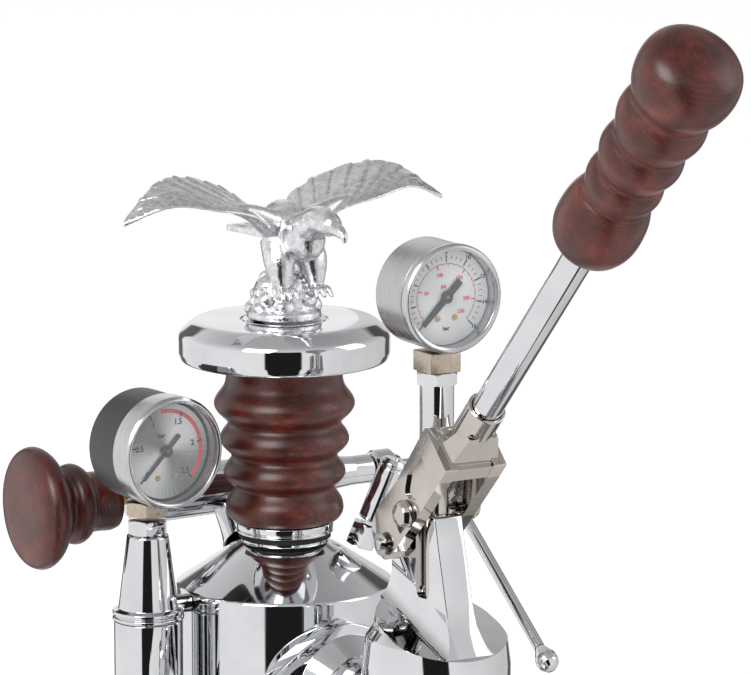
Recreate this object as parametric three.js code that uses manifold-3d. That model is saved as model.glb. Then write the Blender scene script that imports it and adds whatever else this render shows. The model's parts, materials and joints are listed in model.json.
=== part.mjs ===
// Lever espresso machine: a pressed base with a drip tray, a vertical boiler with a screw cap and an
// ornamental bird, a sight glass tower with the boiler gauge, a steam valve with its wand, and a lever
// group whose piston rod carries a second gauge.
// Millimetres, +Z up. The origin is on the worktop, under the centre of the base; the front (group side) is -Y.
import * as THREE from "three";
import { mergeVertices } from "three/addons/utils/BufferGeometryUtils.js";
import Module from "manifold-3d";

const wasm = await Module();
wasm.setup();

// ---------- driving dimensions ----------
const GAP = 0.3; // between pieces that touch
const BROAD = 24; // sides of the boiler, the bell and what fits round them
const FINE = 20; // sides of a large turned piece
const PLAIN = 12; // sides of a small turned piece
const SLIM = 8; // sides of a thin rod or tube

const BASE_WIDTH = 200;
const BASE_HEIGHT = 64;
const BASE_CORNER = 42;
const BASE_EDGE = 8; // rounding of the upper edge
const BASE_WALL = 1.6;
const COVER_THICKNESS = 1.6;
const FOOT_RADIUS = 11;
const FOOT_HEIGHT = 5;
const FOOT_INSET = 34; // foot centre to the side of the base

const TRAY_WIDTH = 150;
const TRAY_LENGTH = 96;
const TRAY_DEPTH = 24;
const TRAY_CORNER = 16;
const TRAY_WALL = 1.2;
const TRAY_LIP = 4; // rim that rests on the base
const TRAY_CLEARANCE = 0.8;
const TRAY_MARGIN = 5; // lip to the front edge of the base
const TRAY_SHIFT = 8; // tray centre ahead of the piston axis
const GRID_THICKNESS = 2;
const GRID_BARS = 11;
const GRID_SLOT = 7;

const SWITCH_WIDTH = 22;
const SWITCH_HEIGHT = 15;
const SWITCH_Y = 62;
const SWITCH_BORDER = 2.5;
const INLET_WIDTH = 28;
const INLET_HEIGHT = 20;
const INLET_X = 40;
const FITTINGS_Z = 34; // height of switch and inlet in the base wall

const BOILER_RADIUS = 46;
const BOILER_WALL = 1.4;
const BOILER_HEIGHT = 194; // base top to shoulder
const BOILER_SINK = 16; // how far it reaches into the base
const BOILER_REAR_SPACE = 54; // boiler wall to the rear edge of the base
const DOME_HEIGHT = 19;
const NECK_RADIUS = 18;
const NECK_BORE = 14.6;
const NECK_HEIGHT = 1.2;
const BOILER_RING_WIDTH = 7;
const BOILER_RING_HEIGHT = 12;
const ELEMENT_RADIUS = 4;
const ELEMENT_LOOP = 22;
const ELEMENT_LENGTH = 78;

const COLLAR_RADIUS = 20.5;
const COLLAR_HEIGHT = 6.7;
const PLUG_DEPTH = 12;
const SEAL_THICKNESS = 2;
const GRIP_HEIGHT = 68;
const DISC_RADIUS = 44.5;
const DISC_HEIGHT = 17.6;
const BOSS_RADIUS = 22.5;

const ROCK_HEIGHT = 20;
const ROCK_RADIUS = 16;
const WING_SPAN = 153;
const WING_THICKNESS = 7;

const TOWER_GAP = 4.5; // boiler wall to the sight glass shield
const TOWER_RADIUS = 14.4;
const TOWER_WALL = 1.4;
const TOWER_HEIGHT = 150;
const TOWER_WINDOW = 13;
const CONE_HEIGHT = 31;
const GLASS_RADIUS = 6;
const GLASS_BORE = 4;

const BOILER_GAUGE_RADIUS = 23.5;
const BOILER_GAUGE_DEPTH = 34;
const BOILER_GAUGE_FRONT = 22.5; // front face ahead of the tower axis
const BOILER_GAUGE_TURN = 5; // degrees about its stem
const GROUP_GAUGE_RADIUS = 22;
const GROUP_GAUGE_DEPTH = 26;
const GROUP_GAUGE_FRONT = 13.5;
const GAUGE_RIM = 2.6;
const GAUGE_RECESS = 7; // front of the bezel to the dial
const ZERO_MARK = -135; // where a needle rests, in degrees clockwise from the top of the dial

const VALVE_BACK = 4; // boiler wall to the steam valve axis
const VALVE_RISE = 31.5; // shoulder to the steam valve axis
const VALVE_LEFT = 48; // from the centre plane to each end
const VALVE_RIGHT = 70;
const VALVE_BORE = 3.4;
const VALVE_LEG_REACH = 17; // valve axis to the foot of its leg
const KNOB_RADIUS = 26;
const KNOB_LENGTH = 42;
const SPINDLE_RADIUS = 3;
const WAND_RADIUS = 2.45;
const WAND_BORE = 1.5;
const WAND_LENGTH = 119;
const WAND_SLOPE = 36; // degrees below the horizon
const WAND_X = 102;
const WAND_BEND = 9;

const SAFETY_FROM_AXIS = 31.3;
const SAFETY_BEARING = -26.6; // degrees from +X, towards the front
const SAFETY_TILT = 22;
const SAFETY_RADIUS = 6;
const SAFETY_CAN = 28;
const SAFETY_HEX = 12;

const GROUP_REACH = 79; // boiler wall to the piston axis
const GROUP_DROP = 36; // shoulder to the group's neck
const CYLINDER_RADIUS = 25.5;
const BELL_WALL = 4.5; // cylinder to the outside of the bell
const SHOULDER_SLOPE = 18.6;
const TOWER_PLATE = 6.5; // half thickness of the fulcrum tower
const SLOT_HALF = 5.2;
const BAYONET_WALL = 4; // portafilter recess to the outside of the bayonet ring
const BAYONET_HEIGHT = 24;
const NECK_PIPE_RADIUS = 17;
const WATER_BORE = 4;
const FLANGE_HALF_WIDTH = 44;
const FLANGE_HALF_HEIGHT = 29;
const FLANGE_THICKNESS = 8;
const BOLT_SPREAD = 30;
const BOLT_RADIUS = 3;
const BOLT_HEAD_RADIUS = 6.5;
const BOLT_HEAD_HEIGHT = 5;
const BOLT_GRIP = 6; // bolt shank behind its head

const ROD_RADIUS = 4.8;
const PISTON_CLEARANCE = 0.5;
const PISTON_HEIGHT = 20;
const PISTON_DROP = 99; // piston pin to the underside of the piston
const ROD_TOP = 26; // piston rod above its pin
const SEAL_GROOVE = [7, 12]; // from the underside of the piston
const SEAL_DEPTH = 3;
const SEAL_SQUEEZE = 0.2; // the piston seal stands proud of the piston
const FULCRUM_BACK = 17.7; // behind the piston axis
const PIN_RISE = 15.8; // piston pin above the fulcrum
const PIN_RADIUS = 2.5;
const PIN_HEAD_RADIUS = 4.4;
const PIN_HEAD = 3; // thickness of the fulcrum pin's heads
const HOLE_REACH = 20; // pin holes are cut that far to each side
const PIN_PLAY = 1.4; // play of the piston pin across the fork's slot

const LEVER_ANGLE = 46.5; // raised, above the horizon
const FORK_INSIDE = 8.2;
const FORK_OUTSIDE = 14;
const FORK_UP = 13;
const FORK_DOWN = 6.5;
const FORK_WINDOW = 53;
const FORK_LENGTH = 61;
const LEVER_OFFSET = 3.3; // rod axis above the line through the fulcrum
const SOCKET_RADIUS = 7.8;
const SOCKET_END = 85;
const ROD_SEAT = 18; // depth of the lever rod in its socket
const LEVER_ROD_RADIUS = 6.2;
const GRIP_START = 186;
const GRIP_END = 300.5;
const TANG_STEP = 2.2; // lever rod to the thinner tang inside the grip
const TANG_SHORT = 40; // end of the tang to the end of the grip

const PORTAFILTER_WALL = 8; // basket to the outside of the portafilter
const PORTAFILTER_HEIGHT = 30;
const BASKET_CLEARANCE = 0.5; // the basket is that much narrower than the cylinder
const BASKET_DEPTH = 20;
const SPOUT_DROP = 18;
const HANDLE_LENGTH = 112;

// ---------- places worked out from the driving dimensions ----------
const FRONT_SPACE = TRAY_MARGIN + TRAY_LIP + TRAY_LENGTH / 2 + TRAY_SHIFT;
const BASE_LENGTH = FRONT_SPACE + GROUP_REACH + 2 * BOILER_RADIUS + BOILER_REAR_SPACE;
const BOILER_Y = BASE_LENGTH / 2 - BOILER_REAR_SPACE - BOILER_RADIUS;
const BELL_RADIUS = CYLINDER_RADIUS + BELL_WALL;
const BASKET_RADIUS = CYLINDER_RADIUS - BASKET_CLEARANCE;
const PORTAFILTER_RADIUS = BASKET_RADIUS + PORTAFILTER_WALL;
const BAYONET_RADIUS = PORTAFILTER_RADIUS + BAYONET_WALL;
const SHOULDER_Z = BASE_HEIGHT + BOILER_HEIGHT;
const DOME_TOP_Z = SHOULDER_Z + DOME_HEIGHT;
const BOILER_BOTTOM_Z = BASE_HEIGHT - BOILER_SINK;
const COLLAR_Z = DOME_TOP_Z + GAP;
const GRIP_Z = COLLAR_Z + COLLAR_HEIGHT + GAP;
const DISC_Z = GRIP_Z + GRIP_HEIGHT + GAP;
const TOWER_X = -(BOILER_RADIUS + TOWER_GAP + TOWER_RADIUS);
const TOWER_TOP_Z = SHOULDER_Z - 4;
const VALVE_Y = BOILER_Y + BOILER_RADIUS + VALVE_BACK;
const VALVE_Z = SHOULDER_Z + VALVE_RISE;
const GROUP_Y = BOILER_Y - BOILER_RADIUS - GROUP_REACH;
const GROUP_NECK_Z = SHOULDER_Z - GROUP_DROP;
const FULCRUM_Y = GROUP_Y + FULCRUM_BACK;
const FULCRUM_Z = GROUP_NECK_Z + 74.5;
const PIN_Z = FULCRUM_Z + PIN_RISE;
const CYLINDER_TOP_Z = GROUP_NECK_Z + 34;
const CYLINDER_BOTTOM_Z = GROUP_NECK_Z - 40;
const BAYONET_Z = CYLINDER_BOTTOM_Z - 14;
const TRAY_Y = GROUP_Y - TRAY_SHIFT;

const degrees = (angle) => THREE.MathUtils.degToRad(angle);
const domeZ = (radius) =>
  SHOULDER_Z + (DOME_HEIGHT * (BOILER_RADIUS - radius)) / (BOILER_RADIUS - NECK_RADIUS);

// ---------- materials ----------
const finish = (color, roughness, metalness) =>
  new THREE.MeshStandardMaterial({ color, roughness, metalness });
const chrome = finish("#d9dadd", 0.08, 1);
const nickel = finish("#cdbfb4", 0.25, 1);
const brushedSteel = finish("#b9b9ba", 0.35, 1);
const brass = finish("#b9975b", 0.3, 1);
const wood = finish("#4c241c", 0.45, 0);
const blackPlastic = finish("#1c1c1e", 0.45, 0);
const rubber = finish("#151515", 0.8, 0);
const clearGlass = new THREE.MeshStandardMaterial({
  color: "#e8f0f2",
  roughness: 0.05,
  transparent: true,
  opacity: 0.35,
});
const dialPaint = finish("#dcdcda", 0.5, 0);
const needlePaint = finish("#16181c", 0.4, 0);

// ---------- shapes ----------
function solidOf(geometry) {
  const loose = geometry.index ? geometry.toNonIndexed() : geometry;
  const bare = new THREE.BufferGeometry().setAttribute("position", loose.getAttribute("position"));
  const merged = mergeVertices(bare, 1e-3);
  const triVerts = new Uint32Array(merged.index.array);
  const vertProperties = merged.attributes.position.array;
  const made = new wasm.Manifold(new wasm.Mesh({ numProp: 3, vertProperties, triVerts }));
  if (made.volume() >= 0) return made;
  for (let i = 0; i < triVerts.length; i += 3) {
    [triVerts[i], triVerts[i + 1]] = [triVerts[i + 1], triVerts[i]];
  }
  return new wasm.Manifold(new wasm.Mesh({ numProp: 3, vertProperties, triVerts }));
}

function geometryOf(solid) {
  const { numProp, vertProperties, triVerts } = solid.getMesh();
  const count = vertProperties.length / numProp;
  const positions = new Float32Array(count * 3);
  for (let i = 0; i < count; i++) {
    positions.set(vertProperties.subarray(i * numProp, i * numProp + 3), i * 3);
  }
  const geometry = new THREE.BufferGeometry();
  geometry.setAttribute("position", new THREE.BufferAttribute(positions, 3));
  geometry.setIndex(new THREE.BufferAttribute(triVerts, 1));
  return geometry;
}

const join = (...pieces) => geometryOf(pieces.map(solidOf).reduce((a, b) => a.add(b)));
const cut = (piece, ...tools) =>
  geometryOf(tools.map(solidOf).reduce((a, b) => a.subtract(b), solidOf(piece)));

// A profile of [radius, height] points, in either direction, turned about Z.
function turned(profile, sides = FINE) {
  const points = profile.map(([r, z]) => new THREE.Vector2(r, z));
  if (THREE.ShapeUtils.area(points) < 0) points.reverse();
  return new THREE.LatheGeometry(points, sides).rotateX(Math.PI / 2);
}

const rod = (radius, low, high, sides = PLAIN) =>
  turned([[0, low], [radius, low], [radius, high], [0, high]], sides);

const ring = (inner, outer, low, high, sides = FINE) =>
  turned([[inner, low], [outer, low], [outer, high], [inner, high], [inner, low]], sides);

const alongX = (geometry) => geometry.rotateY(Math.PI / 2);
const alongFront = (geometry) => geometry.rotateX(Math.PI / 2); // +Z turns to -Y

function block(width, length, height, x = 0, y = 0, z = 0) {
  return new THREE.BoxGeometry(width, length, height).translate(x, y, z + height / 2);
}

function roundedShape(width, length, corner) {
  const x = width / 2 - corner;
  const y = length / 2 - corner;
  const shape = new THREE.Shape();
  [[x, y], [-x, y], [-x, -y], [x, -y]].forEach(([cx, cy], quarter) => {
    const start = (quarter * Math.PI) / 2;
    shape.absarc(cx, cy, corner, start, start + Math.PI / 2, false);
  });
  return shape;
}

function slab(shape, low, high, curveSegments = 2) {
  const depth = high - low;
  return new THREE.ExtrudeGeometry(shape, { depth, bevelEnabled: false, curveSegments }).translate(0, 0, low);
}

// A slab whose upper edge is rounded.
function domedSlab(width, length, corner, edge, low, high) {
  const shape = roundedShape(width - 2 * edge, length - 2 * edge, corner - edge);
  const bevel = { bevelSize: edge, bevelThickness: edge, bevelSegments: 2, curveSegments: 3 };
  const whole = new THREE.ExtrudeGeometry(shape, { depth: high - low - edge + 1, ...bevel });
  whole.translate(0, 0, low - 1);
  return cut(whole, block(2 * width, 2 * length, 4 * edge, 0, 0, low - 4 * edge));
}

// A side view of [y, z] points, as thick as the space between two X planes.
function sidePlate(points, xLow, xHigh) {
  const shape = new THREE.Shape(points.map(([y, z]) => new THREE.Vector2(y, z)));
  const plate = new THREE.ExtrudeGeometry(shape, { depth: xHigh - xLow, bevelEnabled: false });
  const axes = new THREE.Matrix4().makeBasis(
    new THREE.Vector3(0, 1, 0),
    new THREE.Vector3(0, 0, 1),
    new THREE.Vector3(1, 0, 0),
  );
  return plate.applyMatrix4(axes).translate(xLow, 0, 0);
}

// A round bar of the given radius along a smooth curve.
function bar(points, radius, steps, sides = SLIM) {
  const section = new THREE.Shape().absarc(0, 0, radius, 0, 2 * Math.PI, false);
  const extrudePath = new THREE.CatmullRomCurve3(points, false, "centripetal");
  return new THREE.ExtrudeGeometry(section, { steps, extrudePath, curveSegments: sides / 2 });
}

function piece(group, name, geometry, material) {
  const mesh = new THREE.Mesh(geometry, material);
  mesh.name = name;
  group.add(mesh);
  return mesh;
}

function place(parent, x, y, z) {
  const group = new THREE.Group();
  group.position.set(x, y, z);
  parent.add(group);
  return group;
}

// Heights are counted from the underside of the bottom cover, which the feet hold above the worktop.
const machine = new THREE.Group();
machine.position.z = FOOT_HEIGHT;

// ---------- base ----------
const shellBottom = COVER_THICKNESS + GAP;
const switchHole = [SWITCH_HEIGHT + 2 * GAP, SWITCH_WIDTH + 2 * GAP];
const switchX = BASE_WIDTH / 2 - BASE_WALL;
const trayHole = (grow) =>
  roundedShape(TRAY_WIDTH + 2 * grow, TRAY_LENGTH + 2 * grow, TRAY_CORNER + grow);

function baseShell() {
  const outside = domedSlab(BASE_WIDTH, BASE_LENGTH, BASE_CORNER, BASE_EDGE, shellBottom, BASE_HEIGHT);
  const inside = domedSlab(
    BASE_WIDTH - 2 * BASE_WALL,
    BASE_LENGTH - 2 * BASE_WALL,
    BASE_CORNER - BASE_WALL,
    BASE_EDGE - BASE_WALL,
    shellBottom - 1,
    BASE_HEIGHT - BASE_WALL,
  );
  const trayOpening = slab(trayHole(TRAY_CLEARANCE), BASE_HEIGHT - 10, BASE_HEIGHT + 1);
  trayOpening.translate(0, TRAY_Y, 0);
  const boilerOpening = rod(BOILER_RADIUS + GAP, BASE_HEIGHT - 10, BASE_HEIGHT + 1, BROAD);
  boilerOpening.translate(0, BOILER_Y, 0);
  const switchOpening = block(20, switchHole[1], switchHole[0], BASE_WIDTH / 2, SWITCH_Y);
  switchOpening.translate(0, 0, FITTINGS_Z - switchHole[0] / 2);
  const inletOpening = block(INLET_WIDTH + 2 * GAP, 20, INLET_HEIGHT + 2 * GAP, INLET_X, BASE_LENGTH / 2);
  inletOpening.translate(0, 0, FITTINGS_Z - INLET_HEIGHT / 2 - GAP);
  return cut(outside, inside, trayOpening, boilerOpening, switchOpening, inletOpening);
}

function powerInlet() {
  const depth = 22;
  const border = 2.5;
  const inner = depth - 2;
  const y = BASE_LENGTH / 2 - depth / 2;
  const low = FITTINGS_Z - INLET_HEIGHT / 2;
  const body = block(INLET_WIDTH, depth, INLET_HEIGHT, INLET_X, y, low);
  const plate = block(
    INLET_WIDTH + 2 * border,
    border,
    INLET_HEIGHT + 2 * border,
    INLET_X,
    BASE_LENGTH / 2 + GAP + border / 2,
    low - border,
  );
  const socket = block(INLET_WIDTH - 4, inner, INLET_HEIGHT - 4, INLET_X, 0, low + 2);
  socket.translate(0, BASE_LENGTH / 2 + GAP + border - inner / 2 + 0.5, 0);
  const blades = [-7, 0, 7].map((x) =>
    block(2, 14, 5, INLET_X + x, BASE_LENGTH / 2 - depth + 8, FITTINGS_Z - 2.5 + (x ? -2 : 2)),
  );
  const bridge = block(INLET_WIDTH, GAP + 1, INLET_HEIGHT, INLET_X, BASE_LENGTH / 2 + GAP / 2, low);
  return join(cut(join(body, plate, bridge), socket), ...blades);
}

function makeBase(group) {
  piece(group, "base_shell", baseShell(), chrome);
  const coverShape = roundedShape(BASE_WIDTH, BASE_LENGTH, BASE_CORNER);
  piece(group, "bottom_cover", slab(coverShape, 0, COVER_THICKNESS), blackPlastic);
  for (const [side, x] of [["left", -1], ["right", 1]]) {
    for (const [end, y] of [["front", -1], ["rear", 1]]) {
      const foot = turned([
        [0, -FOOT_HEIGHT],
        [FOOT_RADIUS - 1.5, -FOOT_HEIGHT],
        [FOOT_RADIUS, -FOOT_HEIGHT + 1.5],
        [FOOT_RADIUS, -GAP],
        [0, -GAP],
      ], PLAIN);
      const mesh = piece(group, `foot_${end}_${side}`, foot, rubber);
      mesh.position.set(x * (BASE_WIDTH / 2 - FOOT_INSET), y * (BASE_LENGTH / 2 - FOOT_INSET), 0);
    }
  }
  piece(group, "power_inlet", powerInlet(), blackPlastic);

  const panel = place(group, switchX, SWITCH_Y, FITTINGS_Z);
  const depth = 12;
  const bezelOut = BASE_WALL + GAP;
  const bezelBody = block(depth, SWITCH_WIDTH, SWITCH_HEIGHT, bezelOut - depth / 2, 0, -SWITCH_HEIGHT / 2);
  const bezelRim = block(
    1.6,
    SWITCH_WIDTH + 2 * SWITCH_BORDER,
    SWITCH_HEIGHT + 2 * SWITCH_BORDER,
    bezelOut + 0.8,
    0,
    -SWITCH_HEIGHT / 2 - SWITCH_BORDER,
  );
  const wellWidth = SWITCH_WIDTH - 3;
  const wellHeight = SWITCH_HEIGHT - 3;
  const well = block(depth, wellWidth, wellHeight, bezelOut + 3 - depth / 2, 0, -wellHeight / 2);
  piece(panel, "switch_bezel", cut(join(bezelBody, bezelRim), well), blackPlastic);
  const half = wellWidth / 2 - 0.8;
  const rocker = new THREE.Shape();
  rocker.moveTo(-half, -1);
  rocker.lineTo(half, -1);
  rocker.lineTo(half, 2.2);
  rocker.quadraticCurveTo(0, 0.4, -half, 4.4);
  const paddle = slab(rocker, 0, wellHeight - 1.2, 4);
  paddle.rotateZ(-Math.PI / 2).translate(bezelOut - 1.5, 0, -(wellHeight - 1.2) / 2);
  piece(panel, "power_rocker", paddle, blackPlastic);
}

function makeTray(group) {
  const top = BASE_HEIGHT + GAP;
  const tray = place(group, 0, TRAY_Y, 0);
  const pan = join(
    slab(trayHole(0), top - TRAY_DEPTH, top + 1),
    slab(trayHole(TRAY_LIP), top, top + 1.4),
  );
  const hollow = slab(trayHole(-TRAY_WALL), top - TRAY_DEPTH + TRAY_WALL, top + 3);
  piece(tray, "drip_tray", cut(pan, hollow), chrome);

  const gridShape = trayHole(-TRAY_WALL - TRAY_CLEARANCE);
  const gridTop = top + 1;
  const slots = [];
  const pitch = (TRAY_WIDTH - 2 * TRAY_WALL - 10) / GRID_BARS;
  for (let i = 0; i < GRID_BARS; i++) {
    const x = (i - (GRID_BARS - 1) / 2) * pitch;
    slots.push(block(GRID_SLOT, TRAY_LENGTH - 34, 3 * GRID_THICKNESS, x, 0, gridTop - 2 * GRID_THICKNESS));
  }
  const plate = slab(gridShape, gridTop - GRID_THICKNESS, gridTop);
  const legX = (Math.floor(GRID_BARS / 2) - 0.5) * pitch; // between two slots
  const legs = [-1, 1].map((side) =>
    block(1.2, TRAY_LENGTH - 40, TRAY_DEPTH - 4, side * legX, 0, gridTop - TRAY_DEPTH + 3),
  );
  piece(tray, "drip_grid", join(cut(plate, ...slots), ...legs), brushedSteel);
}

// ---------- boiler and cap ----------
function makeBoiler(group) {
  const boiler = place(group, 0, BOILER_Y, 0);
  const r = BOILER_RADIUS;
  const inner = r - BOILER_WALL;
  const wallTop = DOME_TOP_Z - NECK_HEIGHT;
  piece(boiler, "boiler", turned([
    [r - 14, BOILER_BOTTOM_Z],
    [r, BOILER_BOTTOM_Z],
    [r, SHOULDER_Z - 2],
    [r - 1.2, SHOULDER_Z + 1.2],
    [NECK_RADIUS + 4, domeZ(NECK_RADIUS + 4) + 0.6],
    [NECK_RADIUS, wallTop],
    [NECK_RADIUS, DOME_TOP_Z],
    [NECK_BORE + GAP, DOME_TOP_Z],
    [NECK_BORE + GAP, wallTop - 3],
    [NECK_RADIUS + 3, domeZ(NECK_RADIUS + 3) - 2.6],
    [inner, SHOULDER_Z - 2],
    [inner, BOILER_BOTTOM_Z + BOILER_WALL],
    [r - 14, BOILER_BOTTOM_Z + BOILER_WALL],
    [r - 14, BOILER_BOTTOM_Z],
  ], BROAD), chrome);
  const ringLow = BASE_HEIGHT + GAP;
  piece(boiler, "boiler_ring", turned([
    [r + GAP, ringLow],
    [r + BOILER_RING_WIDTH, ringLow],
    [r + BOILER_RING_WIDTH, ringLow + BOILER_RING_HEIGHT / 3],
    [r + BOILER_RING_WIDTH / 3, ringLow + BOILER_RING_HEIGHT],
    [r + GAP, ringLow + BOILER_RING_HEIGHT],
    [r + GAP, ringLow],
  ], BROAD), blackPlastic);

  const flangeTop = BOILER_BOTTOM_Z - GAP;
  const loop = [
    new THREE.Vector3(-ELEMENT_LOOP / 2, 0, flangeTop - 2),
    new THREE.Vector3(-ELEMENT_LOOP / 2, 0, flangeTop + ELEMENT_LENGTH - ELEMENT_LOOP),
    new THREE.Vector3(-ELEMENT_LOOP / 3, 0, flangeTop + ELEMENT_LENGTH - 4),
    new THREE.Vector3(ELEMENT_LOOP / 3, 0, flangeTop + ELEMENT_LENGTH - 4),
    new THREE.Vector3(ELEMENT_LOOP / 2, 0, flangeTop + ELEMENT_LENGTH - ELEMENT_LOOP),
    new THREE.Vector3(ELEMENT_LOOP / 2, 0, flangeTop - 2),
  ];
  piece(boiler, "heating_element", join(
    rod(r - 6, flangeTop - 4, flangeTop),
    bar(loop, ELEMENT_RADIUS, 14, 8),
    block(8, 2, 10, -ELEMENT_LOOP / 2, 0, flangeTop - 13),
    block(8, 2, 10, ELEMENT_LOOP / 2, 0, flangeTop - 13),
  ), brushedSteel);
}

const GRIP_PROFILE = [
  [20.2, 0], [24.3, 4.5], [24.5, 8], [21.3, 14.6], [25.4, 19.6], [25.4, 22.4], [22.5, 27.3],
  [27, 33], [27, 36], [24.1, 41.6], [29.2, 48], [29.4, 51], [25, 59], [24.6, 63], [25.4, 68],
];

function makeCap(group) {
  const cap = place(group, 0, BOILER_Y, 0);
  const sealBottom = COLLAR_Z - GAP;
  const plugLow = sealBottom - PLUG_DEPTH;
  piece(cap, "cap_skirt", turned([
    [0, plugLow],
    [NECK_BORE - GAP, plugLow],
    [NECK_BORE - GAP, COLLAR_Z + SEAL_THICKNESS + GAP],
    [COLLAR_RADIUS, COLLAR_Z + SEAL_THICKNESS + GAP],
    [COLLAR_RADIUS, COLLAR_Z + COLLAR_HEIGHT],
    [0, COLLAR_Z + COLLAR_HEIGHT],
  ]), chrome);
  piece(cap, "cap_gasket", ring(NECK_BORE + GAP, COLLAR_RADIUS - 1, COLLAR_Z, COLLAR_Z + SEAL_THICKNESS), rubber);
  const grip = GRIP_PROFILE.map(([r, z]) => [r, GRIP_Z + (z * GRIP_HEIGHT) / 68]);
  piece(cap, "cap_grip", turned([[0, GRIP_Z], ...grip, [0, GRIP_Z + GRIP_HEIGHT]]), wood);
  const low = DISC_Z;
  const high = DISC_Z + DISC_HEIGHT;
  piece(cap, "cap_disc", turned([
    [0, low + 1.5],
    [BOSS_RADIUS, low + 1.5],
    [BOSS_RADIUS + 1, low],
    [DISC_RADIUS - 3, low],
    [DISC_RADIUS, low + 3],
    [DISC_RADIUS, high - 3],
    [DISC_RADIUS - 3, high],
    [0, high],
  ], BROAD), chrome);
  piece(cap, "bird_finial", birdFinial().translate(0, 0, high + GAP), chrome);
}

// A generic bird with raised wings, on a rock, looking to the front.
function birdFinial() {
  const rock = turned([
    [0, 0],
    [ROCK_RADIUS, 0],
    [ROCK_RADIUS - 1.5, 7],
    [ROCK_RADIUS - 5, ROCK_HEIGHT - 3],
    [ROCK_RADIUS - 9, ROCK_HEIGHT],
    [0, ROCK_HEIGHT],
  ], 9);
  const body = new THREE.SphereGeometry(1, 12, 8).scale(9.5, 26, 10);
  body.rotateX(degrees(-28)).translate(0, 2, ROCK_HEIGHT + 14);
  const neck = bar([
    new THREE.Vector3(0, -14, ROCK_HEIGHT + 22),
    new THREE.Vector3(0, -24, ROCK_HEIGHT + 30),
    new THREE.Vector3(0, -36, ROCK_HEIGHT + 34),
  ], 5.5, 3, 8);
  const head = new THREE.SphereGeometry(6.6, 10, 7).translate(0, -38, ROCK_HEIGHT + 35);
  const beak = new THREE.ConeGeometry(3.4, 13, 7).rotateX(Math.PI + degrees(25));
  beak.translate(0, -47, ROCK_HEIGHT + 32);
  const legs = rod(5, ROCK_HEIGHT - 2, ROCK_HEIGHT + 8, SLIM);
  const tail = block(17, 26, 4).rotateX(degrees(-24)).translate(0, 27, ROCK_HEIGHT + 3);
  const wings = [-1, 1].map((side) => {
    const outline = [
      [4, 24], [20, 33], [44, 46], [60, 40], [WING_SPAN / 2, 27],
      [62, 31], [44, 30], [24, 25], [4, 14],
    ].map(([x, z]) => new THREE.Vector2(side * x, z + ROCK_HEIGHT - 2));
    const wing = new THREE.ExtrudeGeometry(new THREE.Shape(outline), {
      depth: WING_THICKNESS,
      bevelEnabled: false,
    });
    return wing.rotateX(Math.PI / 2).translate(0, WING_THICKNESS / 2, 0);
  });
  return join(rock, legs, body, neck, head, beak, tail, ...wings);
}

// ---------- sight glass tower ----------
function makeTower(group) {
  const tower = place(group, TOWER_X, BOILER_Y, 0);
  const low = TOWER_TOP_Z - TOWER_HEIGHT;
  const reach = -TOWER_X - BOILER_RADIUS - GAP;
  const branch = (z) => alongX(rod(5, 0, reach)).translate(0, 0, z);

  const lowerBody = turned([
    [0, low - 22],
    [6, low - 22],
    [8, low - 16],
    [TOWER_RADIUS - 1, low - 12],
    [TOWER_RADIUS - 1, low - GAP],
    [0, low - GAP],
  ], PLAIN);
  const glassSeat = rod(GLASS_RADIUS + GAP, low - 5, low + 1);
  piece(tower, "sight_lower_fitting", cut(join(lowerBody, branch(low - 9)), glassSeat), chrome);

  const shield = ring(TOWER_RADIUS - TOWER_WALL, TOWER_RADIUS, low, TOWER_TOP_Z - 5);
  const window = block(TOWER_WINDOW, 30, TOWER_HEIGHT - 40, 0, -15, low + 14);
  piece(tower, "sight_shield", cut(shield, window), chrome);

  const coneLow = TOWER_TOP_Z - 5 + GAP;
  const cone = turned([
    [0, coneLow],
    [TOWER_RADIUS + 0.4, coneLow],
    [TOWER_RADIUS + 0.4, coneLow + 5],
    [12.4, coneLow + 5.6],
    [8.6, coneLow + 5 + CONE_HEIGHT],
    [0, coneLow + 5 + CONE_HEIGHT],
  ]);
  const upper = cut(cone, rod(GLASS_RADIUS + GAP, coneLow - 1, coneLow + 5));
  const pipe = alongX(rod(4, 0, reach)).translate(0, 0, coneLow + 4.5);
  const solidPipe = cut(pipe, rod(10, coneLow - 1, coneLow + 12));
  const nutLow = coneLow + 5 + CONE_HEIGHT;
  const nut = turned([[0, nutLow - 1], [8, nutLow - 1], [8, nutLow + 6.5], [0, nutLow + 6.5]], 6);
  piece(tower, "sight_upper_fitting", join(upper, solidPipe, nut, rod(6, nutLow + 6, nutLow + 8)), chrome);
  piece(tower, "sight_glass", ring(GLASS_BORE, GLASS_RADIUS, low - 4.5, coneLow + 4.5, PLAIN), clearGlass);

  const stemHeight = nutLow + 8 + GAP;
  const gauge = place(tower, 0, 0, stemHeight);
  gauge.rotation.z = degrees(BOILER_GAUGE_TURN);
  makeGauge(gauge, "boiler_gauge", {
    radius: BOILER_GAUGE_RADIUS,
    depth: BOILER_GAUGE_DEPTH,
    front: BOILER_GAUGE_FRONT,
    stem: [turned([[0, 0], [9, 0], [9, 6], [0, 6]], 6)],
    stemHeight: 5.5,
    stemMaterial: brass,
    caseMaterial: blackPlastic,
    looseBezel: true,
  });
}

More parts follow.
